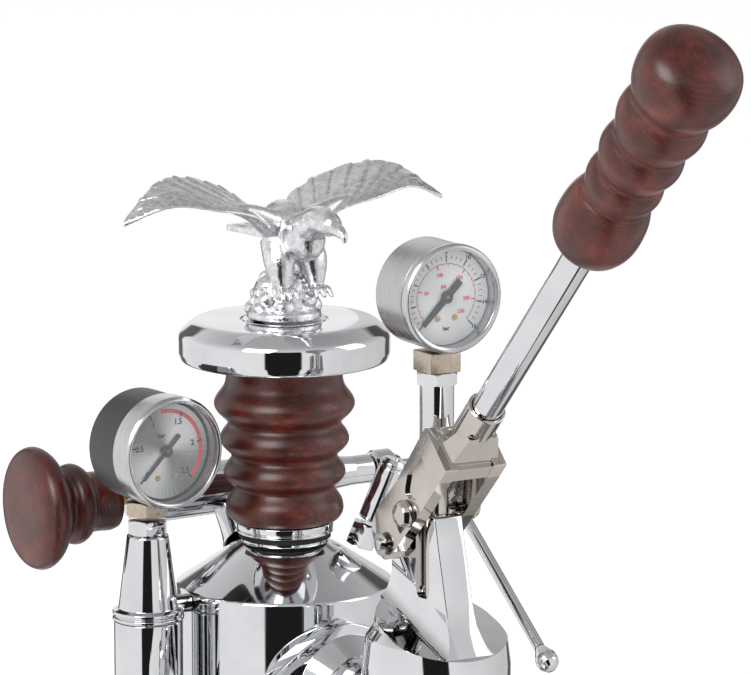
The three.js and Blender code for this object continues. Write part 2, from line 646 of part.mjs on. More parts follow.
// A round gauge on a stem: its local origin is the bottom of the stem, and its dial faces -Y.
function makeGauge(group, name, gauge) {
  const { radius, depth, front, stem, stemHeight, stemMaterial, caseMaterial, looseBezel } = gauge;
  piece(group, `${name}_stem`, join(...stem), stemMaterial);
  const inner = radius - GAUGE_RIM;
  const body = radius - 1.2;
  const round = place(group, 0, 0, stemHeight + GAP + radius);
  const back = front - depth;
  const seam = front - 6;
  const shell = turned([
    [0, back],
    [body - 3, back],
    [body, back + 3],
    [body, seam],
    [inner - 0.6, seam],
    [inner - 0.6, front - GAUGE_RECESS],
    [0, front - GAUGE_RECESS],
  ]);
  const bezelLow = looseBezel ? seam + GAP : seam - 1;
  const bezel = turned([
    [inner, bezelLow],
    [radius, bezelLow],
    [radius, front - 1.5],
    [radius - 1.2, front],
    [inner + 0.6, front],
    [inner, front - 1.2],
    [inner, bezelLow],
  ]);
  if (looseBezel) piece(round, `${name}_bezel`, alongFront(bezel), brushedSteel);
  piece(round, `${name}_case`, alongFront(looseBezel ? shell : join(shell, bezel)), caseMaterial);
  const dialFace = front - GAUGE_RECESS + GAP + 0.6;
  piece(round, `${name}_dial`, alongFront(rod(inner - 1, dialFace - 0.6, dialFace, FINE)), dialPaint);
  piece(round, `${name}_lens`, alongFront(rod(inner - GAP, front - 3, front - 1.5, FINE)), clearGlass);
  const needle = new THREE.Shape();
  needle.moveTo(-0.9, -7);
  needle.lineTo(0.9, -7);
  needle.lineTo(0.35, inner - 5);
  needle.lineTo(-0.35, inner - 5);
  const pointer = join(slab(needle, 0, 0.5), rod(2.2, 0, 0.9, 12));
  pointer.rotateX(Math.PI / 2);
  const mesh = piece(round, `${name}_needle`, pointer, needlePaint);
  mesh.position.y = -dialFace - GAP;
  mesh.rotation.y = degrees(ZERO_MARK);
}

// ---------- safety valve ----------
function makeSafetyValve(group) {
  const bearing = degrees(SAFETY_BEARING);
  const x = SAFETY_FROM_AXIS * Math.cos(bearing);
  const y = SAFETY_FROM_AXIS * Math.sin(bearing);
  const valve = place(group, x, BOILER_Y + y, domeZ(SAFETY_FROM_AXIS) + 3.4);
  valve.rotation.set(0, 0, bearing);
  const tilted = new THREE.Group();
  tilted.rotation.y = degrees(SAFETY_TILT);
  valve.add(tilted);
  const hexHigh = SAFETY_HEX;
  const canLow = hexHigh + GAP;
  piece(tilted, "safety_valve_base", cut(
    join(
      turned([[0, 0], [4.4, 0], [4.4, hexHigh], [0, hexHigh]], 6),
      rod(3.4, hexHigh - 1, hexHigh + 7),
    ),
    rod(1.6, -1, hexHigh + 8, SLIM),
  ), chrome);
  piece(tilted, "safety_valve_cap", cut(
    turned([
      [0, canLow],
      [4, canLow],
      [SAFETY_RADIUS, canLow + 3],
      [SAFETY_RADIUS, canLow + SAFETY_CAN],
      [SAFETY_RADIUS - 0.8, canLow + SAFETY_CAN + 0.8],
      [0, canLow + SAFETY_CAN + 0.8],
    ], PLAIN),
    rod(3.4 + GAP, canLow - 1, canLow + SAFETY_CAN - 6),
    rod(1.2, canLow + SAFETY_CAN - 8, canLow + SAFETY_CAN + 2, SLIM),
  ), chrome);
  const ballLow = hexHigh + 7 + GAP;
  piece(tilted, "safety_poppet", rod(3, ballLow, ballLow + 5), brass);
}

// ---------- steam valve and wand ----------
function makeSteamValve(group) {
  const valve = place(group, 0, VALVE_Y, VALVE_Z);
  const bodyProfile = [
    [VALVE_BORE, -VALVE_LEFT],
    [10, -VALVE_LEFT],
    [12, -VALVE_LEFT + 6],
    [12, -30],
    [11, 0],
    [8.6, 34],
    [6.3, 62],
    [6.3, VALVE_RIGHT],
    [VALVE_BORE, VALVE_RIGHT],
    [VALVE_BORE, -VALVE_LEFT],
  ];
  const footRadius = BOILER_RADIUS + VALVE_BACK - VALVE_LEG_REACH;
  const legFoot = new THREE.Vector3(-8, -VALVE_LEG_REACH, domeZ(footRadius + 1) + 3 - VALVE_Z);
  const leg = bar([
    new THREE.Vector3(-10, 2, -2),
    new THREE.Vector3(-10, -4, -9),
    new THREE.Vector3(-9, -11, -15),
    legFoot,
  ], 5, 6);
  const bore = alongX(rod(VALVE_BORE, -VALVE_LEFT - 1, VALVE_RIGHT + 1));
  piece(valve, "steam_valve_body", cut(join(alongX(turned(bodyProfile)), leg), bore), chrome);

  const knobFace = -VALVE_LEFT - 8 - KNOB_LENGTH;
  piece(valve, "steam_spindle", alongX(join(
    rod(SPINDLE_RADIUS, -VALVE_LEFT - 30, -8, SLIM),
    rod(6, -VALVE_LEFT - 8, -VALVE_LEFT - GAP),
  )), brass);
  const inward = -VALVE_LEFT - 8 - GAP;
  const knobProfile = [
    [SPINDLE_RADIUS + GAP, inward],
    [12.4, inward],
    [12.6, inward - 12],
    [16.4, inward - 15],
    [16.8, inward - 19],
    [13, inward - 22.5],
    [KNOB_RADIUS - 3, inward - 26],
    [KNOB_RADIUS, inward - 31],
    [KNOB_RADIUS, inward - 34.5],
    [KNOB_RADIUS - 4.5, knobFace + 1],
    [0, knobFace],
    [0, -VALVE_LEFT - 30 - GAP],
    [SPINDLE_RADIUS + GAP, -VALVE_LEFT - 30 - GAP],
    [SPINDLE_RADIUS + GAP, inward],
  ];
  piece(valve, "steam_knob", alongX(turned(knobProfile)), wood);

  const nutLow = VALVE_RIGHT + GAP;
  piece(valve, "wand_nut", alongX(turned([
    [WAND_RADIUS + 1, nutLow],
    [7.2, nutLow],
    [8, nutLow + 3],
    [8, nutLow + 9],
    [5.5, nutLow + 14],
    [WAND_RADIUS + 1, nutLow + 14],
    [WAND_RADIUS + 1, nutLow],
  ], PLAIN)), chrome);
  makeWand(valve);
}

function makeWand(valve) {
  const slope = degrees(WAND_SLOPE);
  const reach = (distance) =>
    new THREE.Vector3(WAND_X, -distance * Math.cos(slope), -distance * Math.sin(slope));
  const start = new THREE.Vector3(VALVE_RIGHT + 2, 0, 0);
  const path = [
    start,
    new THREE.Vector3(WAND_X - WAND_BEND - 2, 0, 0),
    new THREE.Vector3(WAND_X - WAND_BEND * 0.35, 0, 0).add(reach(WAND_BEND * 0.35).setX(0)),
    reach(WAND_BEND + 2),
    reach(WAND_LENGTH / 2),
    reach(WAND_LENGTH - 8),
  ];
  const outside = bar(path, WAND_RADIUS, 14);
  const inside = bar(
    [new THREE.Vector3(VALVE_RIGHT - 2, 0, 0), ...path.slice(1, -1), reach(WAND_LENGTH - 2)],
    WAND_BORE,
    14,
    6,
  );
  piece(valve, "steam_wand", cut(outside, inside), chrome);
  const tip = turned([
    [0, 0],
    [WAND_RADIUS, 0],
    [4.6, 4.4],
    [4.9, 7],
    [4.6, 9.4],
    [2.6, 11.6],
    [0, 12.2],
  ], PLAIN);
  const mesh = piece(valve, "wand_tip", tip, chrome);
  mesh.position.copy(reach(WAND_LENGTH - 8 + GAP));
  mesh.quaternion.setFromUnitVectors(new THREE.Vector3(0, 0, 1), reach(1).setX(0).normalize());
}

// ---------- group ----------
function bell() {
  const top = CYLINDER_TOP_Z + 24;
  const profile = [
    [0, top],
    [BELL_RADIUS - 8, top],
    [BELL_RADIUS - 5.8, CYLINDER_TOP_Z + 12],
    [BELL_RADIUS - 2, CYLINDER_TOP_Z + 5],
    [BELL_RADIUS - 0.5, CYLINDER_TOP_Z],
    [BELL_RADIUS, CYLINDER_TOP_Z - 8],
    [BELL_RADIUS, CYLINDER_BOTTOM_Z + 22],
    [BAYONET_RADIUS, CYLINDER_BOTTOM_Z + 10],
    [BAYONET_RADIUS, BAYONET_Z],
    [0, BAYONET_Z],
  ];
  const slope = Math.tan(degrees(SHOULDER_SLOPE));
  const front = CYLINDER_TOP_Z + 0.6;
  const lid = sidePlate([
    [-BELL_RADIUS - 30, front - 30 * slope - 0.2],
    [BELL_RADIUS + 30, front + (2 * BELL_RADIUS + 30) * slope],
    [BELL_RADIUS + 30, top + 60],
    [-BELL_RADIUS - 30, top + 60],
  ], -60, 60);
  return cut(turned(profile, BROAD), lid);
}

function groupBody() {
  const towerTop = PIN_Z - 1;
  const slotLow = PIN_Z - 35.4;
  const low = CYLINDER_TOP_Z - 4;
  const fulcrum = FULCRUM_Z;
  const plate = sidePlate([
    [-BELL_RADIUS + 1.4, low],
    [-BELL_RADIUS + 3, CYLINDER_TOP_Z + 1],
    [-16, CYLINDER_TOP_Z + 25.2],
    [-9, towerTop],
    [-SLOT_HALF, towerTop],
    [SLOT_HALF, towerTop],
    [FULCRUM_BACK + 2, fulcrum + PIN_RISE / 2],
    [FULCRUM_BACK + 7, fulcrum + 2],
    [FULCRUM_BACK + 7, fulcrum - 8],
    [BELL_RADIUS - 4, low],
  ], -TOWER_PLATE, TOWER_PLATE);
  const gullet = sidePlate([
    [-SLOT_HALF, towerTop + 2],
    [-SLOT_HALF, slotLow + 3],
    [-SLOT_HALF / 2, slotLow],
    [SLOT_HALF / 2, slotLow],
    [SLOT_HALF, slotLow + 3],
    [SLOT_HALF, towerTop + 2],
  ], -2 * TOWER_PLATE, 2 * TOWER_PLATE);
  const pinHole = alongX(rod(PIN_RADIUS + GAP, -HOLE_REACH, HOLE_REACH, PLAIN)).translate(0, FULCRUM_BACK, fulcrum);

  const faceY = GROUP_REACH - GAP;
  const neck = alongFront(rod(NECK_PIPE_RADIUS, -faceY, -10, FINE)).translate(0, 0, GROUP_NECK_Z);
  const flange = alongFront(slab(flangeShape(), -faceY, -faceY + FLANGE_THICKNESS));
  flange.translate(0, 0, GROUP_NECK_Z);
  const bolts = [-1, 1].map((side) =>
    alongFront(rod(BOLT_RADIUS + GAP, -faceY - 1, 0, PLAIN)).translate(side * BOLT_SPREAD, 0, GROUP_NECK_Z),
  );
  const cylinder = rod(CYLINDER_RADIUS, BAYONET_Z + 14, CYLINDER_TOP_Z - 3, FINE);
  const mouth = rod(PORTAFILTER_RADIUS - 2, BAYONET_Z - 1, BAYONET_Z + 14 + GAP, FINE);
  const rodBore = rod(ROD_RADIUS + GAP, CYLINDER_TOP_Z - 5, towerTop + 4);
  const water = alongFront(rod(WATER_BORE, -faceY - 1, -CYLINDER_RADIUS + 3, PLAIN)).translate(0, 0, GROUP_NECK_Z);
  const boilerFace = rod(BOILER_RADIUS + GAP, 0, 2 * SHOULDER_Z, BROAD).translate(0, BOILER_Y - GROUP_Y, 0);
  return cut(
    join(bell(), plate, neck, flange),
    gullet,
    pinHole,
    cylinder,
    mouth,
    rodBore,
    water,
    boilerFace,
    ...bolts,
  );
}

function flangeShape() {
  const shape = new THREE.Shape();
  const end = 11;
  const w = FLANGE_HALF_WIDTH;
  const h = FLANGE_HALF_HEIGHT;
  shape.moveTo(w, 0);
  [[w, end, w - end, end, 0, h], [-w + end, end, -w, end, -w, 0],
    [-w, -end, -w + end, -end, 0, -h], [w - end, -end, w, -end, w, 0]].forEach((q) => {
    shape.bezierCurveTo(...q);
  });
  return shape;
}

function makeGroup(group) {
  const head = place(group, 0, GROUP_Y, 0);
  piece(head, "group_body", groupBody(), chrome);
  const faceY = GROUP_REACH - GAP;
  for (const [side, x] of [["left", -1], ["right", 1]]) {
    const boltHead = faceY - FLANGE_THICKNESS - GAP;
    const bolt = join(
      rod(BOLT_HEAD_RADIUS, -boltHead, -boltHead + BOLT_HEAD_HEIGHT, 6),
      rod(BOLT_RADIUS, -boltHead - BOLT_GRIP, -boltHead + 1, SLIM),
    );
    const mesh = piece(head, `flange_bolt_${side}`, alongFront(bolt), chrome);
    mesh.position.set(x * BOLT_SPREAD, 0, GROUP_NECK_Z);
  }
  piece(head, "shower_screen", join(
    rod(CYLINDER_RADIUS - 1, BAYONET_Z + 12.6, BAYONET_Z + 13.6, FINE),
    rod(3, BAYONET_Z + 11.5, BAYONET_Z + 13, 12),
  ), brushedSteel);
  piece(head, "group_gasket", ring(
    BASKET_RADIUS + 0.5,
    PORTAFILTER_RADIUS - 2 - GAP,
    BAYONET_Z + 6,
    BAYONET_Z + 12.6 - GAP,
  ), rubber);

  const pistonLow = PIN_Z - PISTON_DROP;
  const pistonTop = pistonLow + PISTON_HEIGHT;
  const pistonRadius = CYLINDER_RADIUS - PISTON_CLEARANCE;
  const pinHole = alongX(rod(PIN_RADIUS + GAP, -HOLE_REACH, HOLE_REACH, PLAIN)).translate(0, 0, PIN_Z);
  piece(head, "piston_rod", cut(rod(ROD_RADIUS, pistonTop + GAP, PIN_Z + ROD_TOP, PLAIN), pinHole), nickel);
  const groove = pistonRadius - SEAL_DEPTH;
  const [sealLow, sealHigh] = SEAL_GROOVE.map((height) => pistonLow + height);
  piece(head, "piston", turned([
    [0, pistonLow],
    [pistonRadius, pistonLow],
    [pistonRadius, sealLow],
    [groove, sealLow],
    [groove, sealHigh],
    [pistonRadius, sealHigh],
    [pistonRadius, pistonTop],
    [0, pistonTop],
  ]), brass);
  piece(head, "piston_seal", ring(
    groove + GAP,
    pistonRadius + SEAL_SQUEEZE,
    sealLow + GAP,
    sealHigh - GAP,
  ), rubber);

  const gaugeBase = place(head, 0, 0, PIN_Z + ROD_TOP + GAP);
  makeGauge(gaugeBase, "group_gauge", {
    radius: GROUP_GAUGE_RADIUS,
    depth: GROUP_GAUGE_DEPTH,
    front: GROUP_GAUGE_FRONT,
    stem: [
      rod(6.9, 0, 26),
      turned([[0, 25], [9.2, 25], [9.2, 30], [0, 30]], 6),
      block(14, 14, 9, 0, 0, 29.5),
    ],
    stemHeight: 38.5,
    stemMaterial: nickel,
    caseMaterial: brushedSteel,
    looseBezel: false,
  });
}

// ---------- lever ----------
// Lever pieces are drawn along +Y' from the fulcrum and turned up to the lever's angle.
function makeLever(group) {
  const lever = place(group, 0, FULCRUM_Y, FULCRUM_Z);
  lever.rotation.x = degrees(-LEVER_ANGLE);
  // In this frame -Y runs along the lever and +Z is its upper side.
  const arm = (low, high) =>
    sidePlate([
      [-FORK_LENGTH, -FORK_DOWN],
      [2, -FORK_DOWN],
      [8, -1],
      [9, 5],
      [5, FORK_UP],
      [-FORK_LENGTH, FORK_UP],
    ], low, high);
  const bridge = sidePlate([
    [-FORK_LENGTH, -FORK_DOWN],
    [-FORK_WINDOW, -FORK_DOWN],
    [-FORK_WINDOW, FORK_UP],
    [-FORK_LENGTH, FORK_UP],
  ], -FORK_OUTSIDE, FORK_OUTSIDE);
  const socket = alongFront(rod(SOCKET_RADIUS, FORK_WINDOW + 2, SOCKET_END, PLAIN));
  socket.translate(0, 0, LEVER_OFFSET);
  const rodSeat = alongFront(rod(LEVER_ROD_RADIUS + GAP, SOCKET_END - ROD_SEAT, SOCKET_END + 1, PLAIN));
  rodSeat.translate(0, 0, LEVER_OFFSET);
  const fulcrumHole = alongX(rod(PIN_RADIUS + GAP, -HOLE_REACH, HOLE_REACH, PLAIN));
  const pinAngle = Math.atan2(PIN_RISE, FULCRUM_BACK) - degrees(LEVER_ANGLE);
  const nearest = FULCRUM_BACK - PIN_RADIUS - PIN_PLAY;
  const farthest = Math.hypot(FULCRUM_BACK, PIN_RISE) + PIN_RADIUS + PIN_PLAY;
  const slotHalf = PIN_RADIUS + PIN_PLAY;
  const slot = block(60, farthest - nearest, 2 * slotHalf, 0, -(nearest + farthest) / 2, -slotHalf);
  slot.rotateX(-pinAngle);
  piece(lever, "fork", cut(
    join(arm(-FORK_OUTSIDE, -FORK_INSIDE), arm(FORK_INSIDE, FORK_OUTSIDE), bridge, socket),
    fulcrumHole,
    slot,
    rodSeat,
  ), nickel);

  const rodStart = SOCKET_END - ROD_SEAT + GAP;
  const shaft = alongFront(join(
    rod(LEVER_ROD_RADIUS, rodStart, GRIP_START - GAP, PLAIN),
    rod(LEVER_ROD_RADIUS - TANG_STEP, GRIP_START - 1, GRIP_END - TANG_SHORT, PLAIN),
  ));
  piece(lever, "lever_rod", shaft.translate(0, 0, LEVER_OFFSET), chrome);
  const bore = LEVER_ROD_RADIUS - TANG_STEP + GAP;
  const boreEnd = GRIP_END - TANG_SHORT + GAP;
  const grip = turned([
    [bore, GRIP_START],
    [9.5, GRIP_START],
    [13.5, GRIP_START + 4],
    [17.2, GRIP_START + 15],
    [16.4, GRIP_START + 25],
    [13.6, GRIP_START + 32],
    [15, GRIP_START + 39],
    [13.4, GRIP_START + 46],
    [16.3, GRIP_START + 55],
    [14.4, GRIP_START + 63],
    [17.3, GRIP_START + 74],
    [15.6, GRIP_START + 83],
    [20.5, GRIP_START + 97.5],
    [20, GRIP_START + 105],
    [15, GRIP_START + 111],
    [0, GRIP_END],
    [0, boreEnd],
    [bore, boreEnd],
    [bore, GRIP_START],
  ]);
  piece(lever, "lever_grip", alongFront(grip).translate(0, 0, LEVER_OFFSET), wood);
  const headless = FORK_OUTSIDE + GAP;
  piece(lever, "fulcrum_pin", alongX(join(
    rod(PIN_RADIUS, -headless - 1, headless + 1, 12),
    rod(PIN_HEAD_RADIUS, -headless - PIN_HEAD, -headless),
    rod(PIN_HEAD_RADIUS, headless, headless + PIN_HEAD),
  )), nickel);
  const pin = place(group, 0, GROUP_Y, PIN_Z);
  const dome = (side) => {
    const cap = turned([[0, 0], [5.6, 0], [5.6, 2], [3.6, 4.4], [0, 5.2]], PLAIN);
    return alongX(cap).scale(side, 1, 1).translate(side * headless, 0, 0);
  };
  piece(pin, "piston_pin", join(
    alongX(rod(PIN_RADIUS, -headless - 1, headless + 1, 12)),
    dome(-1),
    dome(1),
  ), nickel);
}

// ---------- portafilter ----------
function makePortafilter(group) {
  const holder = place(group, 0, GROUP_Y, BAYONET_Z);
  const top = 5.4;
  const low = top - PORTAFILTER_HEIGHT;
  const r = PORTAFILTER_RADIUS - 3;
  const wall = 3;
  const bowl = turned([
    [0, low],
    [r - 8, low],
    [r, low + 8],
    [r, top],
    [BASKET_RADIUS + GAP + 0.6, top],
    [BASKET_RADIUS + GAP + 0.6, low + wall + 4],
    [4, low + wall],
    [0, low + wall],
  ]);
  const stub = alongFront(rod(6, r - 6, r + 16)).translate(0, 0, low + 14);
  const hollow = rod(BASKET_RADIUS + GAP + 0.6, low + wall + 6, top + 1, FINE);
  const drain = rod(3, low - 1, low + wall + 1, SLIM);
  const tapped = alongFront(rod(3 + GAP, r + 6, r + 17, SLIM)).translate(0, 0, low + 14);
  piece(holder, "portafilter_body", cut(join(bowl, stub), hollow, drain, tapped), chrome);

  const b = BASKET_RADIUS;
  piece(holder, "filter_basket", turned([
    [0, top - BASKET_DEPTH],
    [b - 2, top - BASKET_DEPTH],
    [b, top - 4],
    [b, top + GAP],
    [b + 3, top + GAP],
    [b + 3, top + GAP + 0.3],
    [b - 0.5, top + GAP + 0.3],
    [b - 0.5, top - 4],
    [b - 2.6, top - BASKET_DEPTH + 0.6],
    [0, top - BASKET_DEPTH + 0.6],
  ]), brushedSteel);
  const spoutTop = low - GAP;
  const arms = [-1, 1].map((side) =>
    bar([
      new THREE.Vector3(0, 0, spoutTop - 5),
      new THREE.Vector3(side * 7, 0, spoutTop - 6),
      new THREE.Vector3(side * 12, 0, spoutTop - 11),
      new THREE.Vector3(side * 12, 0, spoutTop - SPOUT_DROP),
    ], 3.6, 8),
  );
  piece(holder, "spout", join(rod(7, spoutTop - 8, spoutTop, PLAIN), ...arms), chrome);

  const start = r + 16 + GAP;
  const handle = turned([
    [0, start],
    [7.5, start],
    [10, start + 5],
    [11, start + 18],
    [9.6, start + 34],
    [13, start + 58],
    [15, start + 80],
    [14, start + 98],
    [8, start + HANDLE_LENGTH - 3],
    [0, start + HANDLE_LENGTH],
  ], PLAIN);
  const stud = rod(3, start - 9, start + 2, SLIM);
  const whole = alongFront(join(handle, stud)).translate(0, 0, low + 14);
  piece(holder, "portafilter_handle", whole, wood);
}

makeBase(machine);
makeTray(machine);
makeBoiler(machine);
makeCap(machine);
makeTower(machine);
makeSafetyValve(machine);
makeSteamValve(machine);
makeGroup(machine);
makeLever(machine);
makePortafilter(machine);

export default machine;
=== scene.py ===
# %% [markdown]
# # A lever espresso machine in Blender
# The design is already packed: every sub-part has its place, its size and its joint. Blender gives each
# visible part its real shape and its finish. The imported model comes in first, as a frame that never moves.

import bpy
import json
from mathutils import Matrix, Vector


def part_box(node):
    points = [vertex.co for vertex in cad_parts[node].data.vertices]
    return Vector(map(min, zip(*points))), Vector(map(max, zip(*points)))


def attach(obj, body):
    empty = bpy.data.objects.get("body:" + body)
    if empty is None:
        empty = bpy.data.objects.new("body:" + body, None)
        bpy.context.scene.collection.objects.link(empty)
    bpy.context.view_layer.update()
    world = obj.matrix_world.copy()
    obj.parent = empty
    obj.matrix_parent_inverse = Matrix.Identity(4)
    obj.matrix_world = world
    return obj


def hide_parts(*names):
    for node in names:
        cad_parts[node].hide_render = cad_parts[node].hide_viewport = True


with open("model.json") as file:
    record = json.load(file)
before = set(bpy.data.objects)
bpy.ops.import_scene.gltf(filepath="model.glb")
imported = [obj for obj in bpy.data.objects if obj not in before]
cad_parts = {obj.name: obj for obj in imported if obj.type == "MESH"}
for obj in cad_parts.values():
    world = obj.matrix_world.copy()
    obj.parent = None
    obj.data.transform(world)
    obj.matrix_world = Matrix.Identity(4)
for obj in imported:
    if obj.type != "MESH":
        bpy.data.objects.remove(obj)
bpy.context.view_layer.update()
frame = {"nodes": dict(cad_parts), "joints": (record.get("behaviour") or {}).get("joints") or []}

# %% [markdown]
# ## Units and directions
# Blender works in metres, and a drawing of such a machine is in millimetres. Each outline below is
# therefore in millimetres and is scaled once, when its mesh is made. Places are read from the packed
# nodes.

# %% Tools and units
import json
import math

import bmesh
import bpy
from mathutils import Matrix, Vector

MM = 0.001
UP = Vector((0, 0, 1))
FRONT = Vector((0, -1, 0))
RIGHT = Vector((1, 0, 0))


def spot(node):
    """Centre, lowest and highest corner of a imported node, in millimetres."""
    low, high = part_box(node)
    return (low + high) / 2 / MM, low / MM, high / MM


# %% [markdown]
# ## Camera
# Tall machines are best shown from far away through a long lens, so that upright edges stay parallel. The
# camera stands two metres off, a little above the cap, and looks at the middle of the top half.

# %% Camera
CAMERA_TURN = math.radians(-30)
CAMERA_RISE = math.radians(10.5)
CAMERA_DISTANCE = 2.0
LENS = 234.9

aim = Vector((9.6, -14.7, spot("cap_disc")[2].z + 0.5)) * MM
toward_camera = Vector((
    math.sin(CAMERA_TURN) * math.cos(CAMERA_RISE),
    -math.cos(CAMERA_TURN) * math.cos(CAMERA_RISE),
    math.sin(CAMERA_RISE),
))
camera_data = bpy.data.cameras.new("camera")
camera_data.lens = LENS
camera_data.sensor_width = 36
camera_data.clip_end = 100
camera = bpy.data.objects.new("camera", camera_data)
camera.location = aim + toward_camera * CAMERA_DISTANCE
camera.rotation_euler = toward_camera.to_track_quat("Z", "Y").to_euler()
bpy.context.collection.objects.link(camera)
bpy.context.scene.camera = camera
print("camera at", [round(v, 3) for v in camera.location], "aims at", [round(v, 4) for v in aim])

# %% [markdown]
# ## Node helper and colours
# Materials are graphs of nodes. One function adds a node, sets it up and links its sockets, so that every
# finish below reads as a short list of steps. Colours are written as sRGB hex and turned to linear light.

# %% Node helper and colours
def linear(hex_colour):
    """An sRGB hex colour as linear red, green, blue and alpha."""
    parts = [int(hex_colour[i:i + 2], 16) / 255 for i in (1, 3, 5)]
    return [v / 12.92 if v <= 0.04045 else ((v + 0.055) / 1.055) ** 2.4 for v in parts] + [1.0]


def node(tree, kind, sockets=None, **settings):
    """Adds a node: settings are its properties, sockets its input values or the outputs that feed them."""
    made = tree.nodes.new(kind)
    for name, value in settings.items():
        setattr(made, name, value)
    for name, value in (sockets or {}).items():
        if isinstance(value, bpy.types.NodeSocket):
            tree.links.new(value, made.inputs[name])
        else:
            made.inputs[name].default_value = value
    return made


def ramp(tree, factor, *stops):
    """A colour ramp from (place, hex colour) stops."""
    made = node(tree, "ShaderNodeValToRGB", {"Fac": factor})
    elements = made.color_ramp.elements
    while len(elements) < len(stops):
        elements.new(0.5)
    for element, (place, colour) in zip(elements, stops):
        element.position = place
        element.color = linear(colour)
    return made.outputs["Color"]


def new_material(name):
    """An empty material: its tree, its shader and the object's own coordinates."""
    made = bpy.data.materials.new(name)
    made.use_nodes = True
    tree = made.node_tree
    shader = tree.nodes["Principled BSDF"]
    place = node(tree, "ShaderNodeTexCoord").outputs["Object"]
    return made, tree, shader, place


def wire(tree, shader, **sockets):
    """Sets or links the shader's sockets; a double underscore in a name stands for a space."""
    for name, value in sockets.items():
        socket = shader.inputs[name.replace("__", " ")]
        if isinstance(value, bpy.types.NodeSocket):
            tree.links.new(value, socket)
        else:
            socket.default_value = value


def scaled(tree, place, scale, rotation=(0, 0, 0), location=(0, 0, 0)):
    """Coordinates moved, turned and scaled; a scale is pattern repeats per metre."""
    mapping = node(tree, "ShaderNodeMapping", {"Vector": place, "Rotation": rotation, "Location": location})
    mapping.vector_type = "TEXTURE"
    factor = node(tree, "ShaderNodeVectorMath", {0: mapping.outputs[0], 1: scale}, operation="MULTIPLY")
    return factor.outputs[0]


def noise_value(tree, place, scale, detail=2.0, roughness=0.5):
    sockets = {"Vector": place, "Scale": scale, "Detail": detail, "Roughness": roughness}
    return node(tree, "ShaderNodeTexNoise", sockets).outputs["Fac"]


def spread(tree, value, low, high, from_low=0.3, from_high=0.7):
    """A 0 to 1 pattern spread over a range of values."""
    sockets = {"Value": value, "From Min": from_low, "From Max": from_high, "To Min": low, "To Max": high}
    return node(tree, "ShaderNodeMapRange", sockets).outputs["Result"]


def bump(tree, height, depth_mm, strength=1.0):
    sockets = {"Height": height, "Distance": depth_mm * MM, "Strength": strength}
    return node(tree, "ShaderNodeBump", sockets).outputs["Normal"]


print("node helpers ready")

# %% [markdown]
# ## Studio
# Polished metal shows its surroundings more than itself. A product studio wraps it in white cloth and
# leaves one narrow dark gap in front, which draws the dark upright line on every cylinder. Here the world
# is that cloth, with fixed dark gaps in front and at the sides. It is plain white where it is seen directly,
# and matt surfaces get less of its light, so that wood and paint keep their depth.

# %% Studio
WHITE_CLOTH = 1.0
GAP_HALF_WIDTH = math.radians(20)
GAP_TOP = math.radians(24)
GAP_DARKNESS = 0.985
SIDE_GAP_DARKNESS = 0.85
OVERHEAD_LIGHT = 0.5
FAR_SIDE_LIGHT = 0.72
MATT_LIGHT = 0.55  # how much of the cloth a matt surface gets

world = bpy.data.worlds.new("studio_cloth")
bpy.context.scene.world = world
world.use_nodes = True
sky = world.node_tree
direction = node(sky, "ShaderNodeTexCoord").outputs["Generated"]
turned_sky = node(sky, "ShaderNodeVectorRotate", {"Vector": direction, "Angle": -CAMERA_TURN},
    rotation_type="Z_AXIS")
axes = node(sky, "ShaderNodeSeparateXYZ", {0: turned_sky.outputs[0]})
minus_y = node(sky, "ShaderNodeMath", {0: axes.outputs["Y"], 1: -1.0}, operation="MULTIPLY").outputs[0]
side = node(sky, "ShaderNodeMath", {0: axes.outputs["X"], 1: minus_y}, operation="ARCTAN2").outputs[0]
bearing = node(sky, "ShaderNodeMath", {0: side}, operation="ABSOLUTE").outputs[0]


def edge(value, start, end):
    """0 below start, 1 above end, with a soft step between."""
    sockets = {"Value": value, "From Min": start, "From Max": end}
    return node(sky, "ShaderNodeMapRange", sockets, interpolation_type="SMOOTHSTEP").outputs[0]


def times(first, second):
    return node(sky, "ShaderNodeMath", {0: first, 1: second}, operation="MULTIPLY").outputs[0]


def opposite(value):
    return node(sky, "ShaderNodeMath", {0: 1.0, 1: value}, operation="SUBTRACT").outputs[0]


soft = math.radians(1.2)
outside_gap = edge(bearing, GAP_HALF_WIDTH - soft, GAP_HALF_WIDTH + soft)
above_gap = edge(axes.outputs["Z"], math.sin(GAP_TOP) - 0.04, math.sin(GAP_TOP) + 0.04)
gap = times(opposite(outside_gap), opposite(above_gap))
side_low, side_high = math.radians(142), math.radians(160)
side_gap = times(edge(bearing, side_low - 0.05, side_low + 0.05),
    opposite(edge(bearing, side_high - 0.05, side_high + 0.05)))
side_gap = times(side_gap, opposite(edge(axes.outputs["Z"], 0.45, 0.6)))
shade = times(opposite(times(gap, GAP_DARKNESS)), opposite(times(side_gap, SIDE_GAP_DARKNESS)))
overhead = node(sky, "ShaderNodeMapRange", {"Value": axes.outputs["Z"], "From Min": 0.25, "From Max": 0.95,
    "To Min": 1.0, "To Max": OVERHEAD_LIGHT})
shade = times(shade, overhead.outputs[0])
fall = node(sky, "ShaderNodeMapRange", {"Value": side, "From Min": 0.3, "From Max": 2.2, "To Min": 1.0,
    "To Max": FAR_SIDE_LIGHT})
cloth = times(shade, fall.outputs[0])
seen = node(sky, "ShaderNodeLightPath").outputs["Is Camera Ray"]
matt = node(sky, "ShaderNodeLightPath").outputs["Is Diffuse Ray"]
calm = node(sky, "ShaderNodeMapRange", {"Value": matt, "To Min": 1.0, "To Max": MATT_LIGHT}).outputs[0]
light = node(sky, "ShaderNodeMath", {0: times(cloth, calm), 1: seen}, operation="MAXIMUM").outputs[0]
backdrop = node(sky, "ShaderNodeCombineColor", {0: light, 1: light, 2: light})
tree_out = sky.nodes["Background"]
sky.links.new(backdrop.outputs[0], tree_out.inputs["Color"])
tree_out.inputs["Strength"].default_value = WHITE_CLOTH


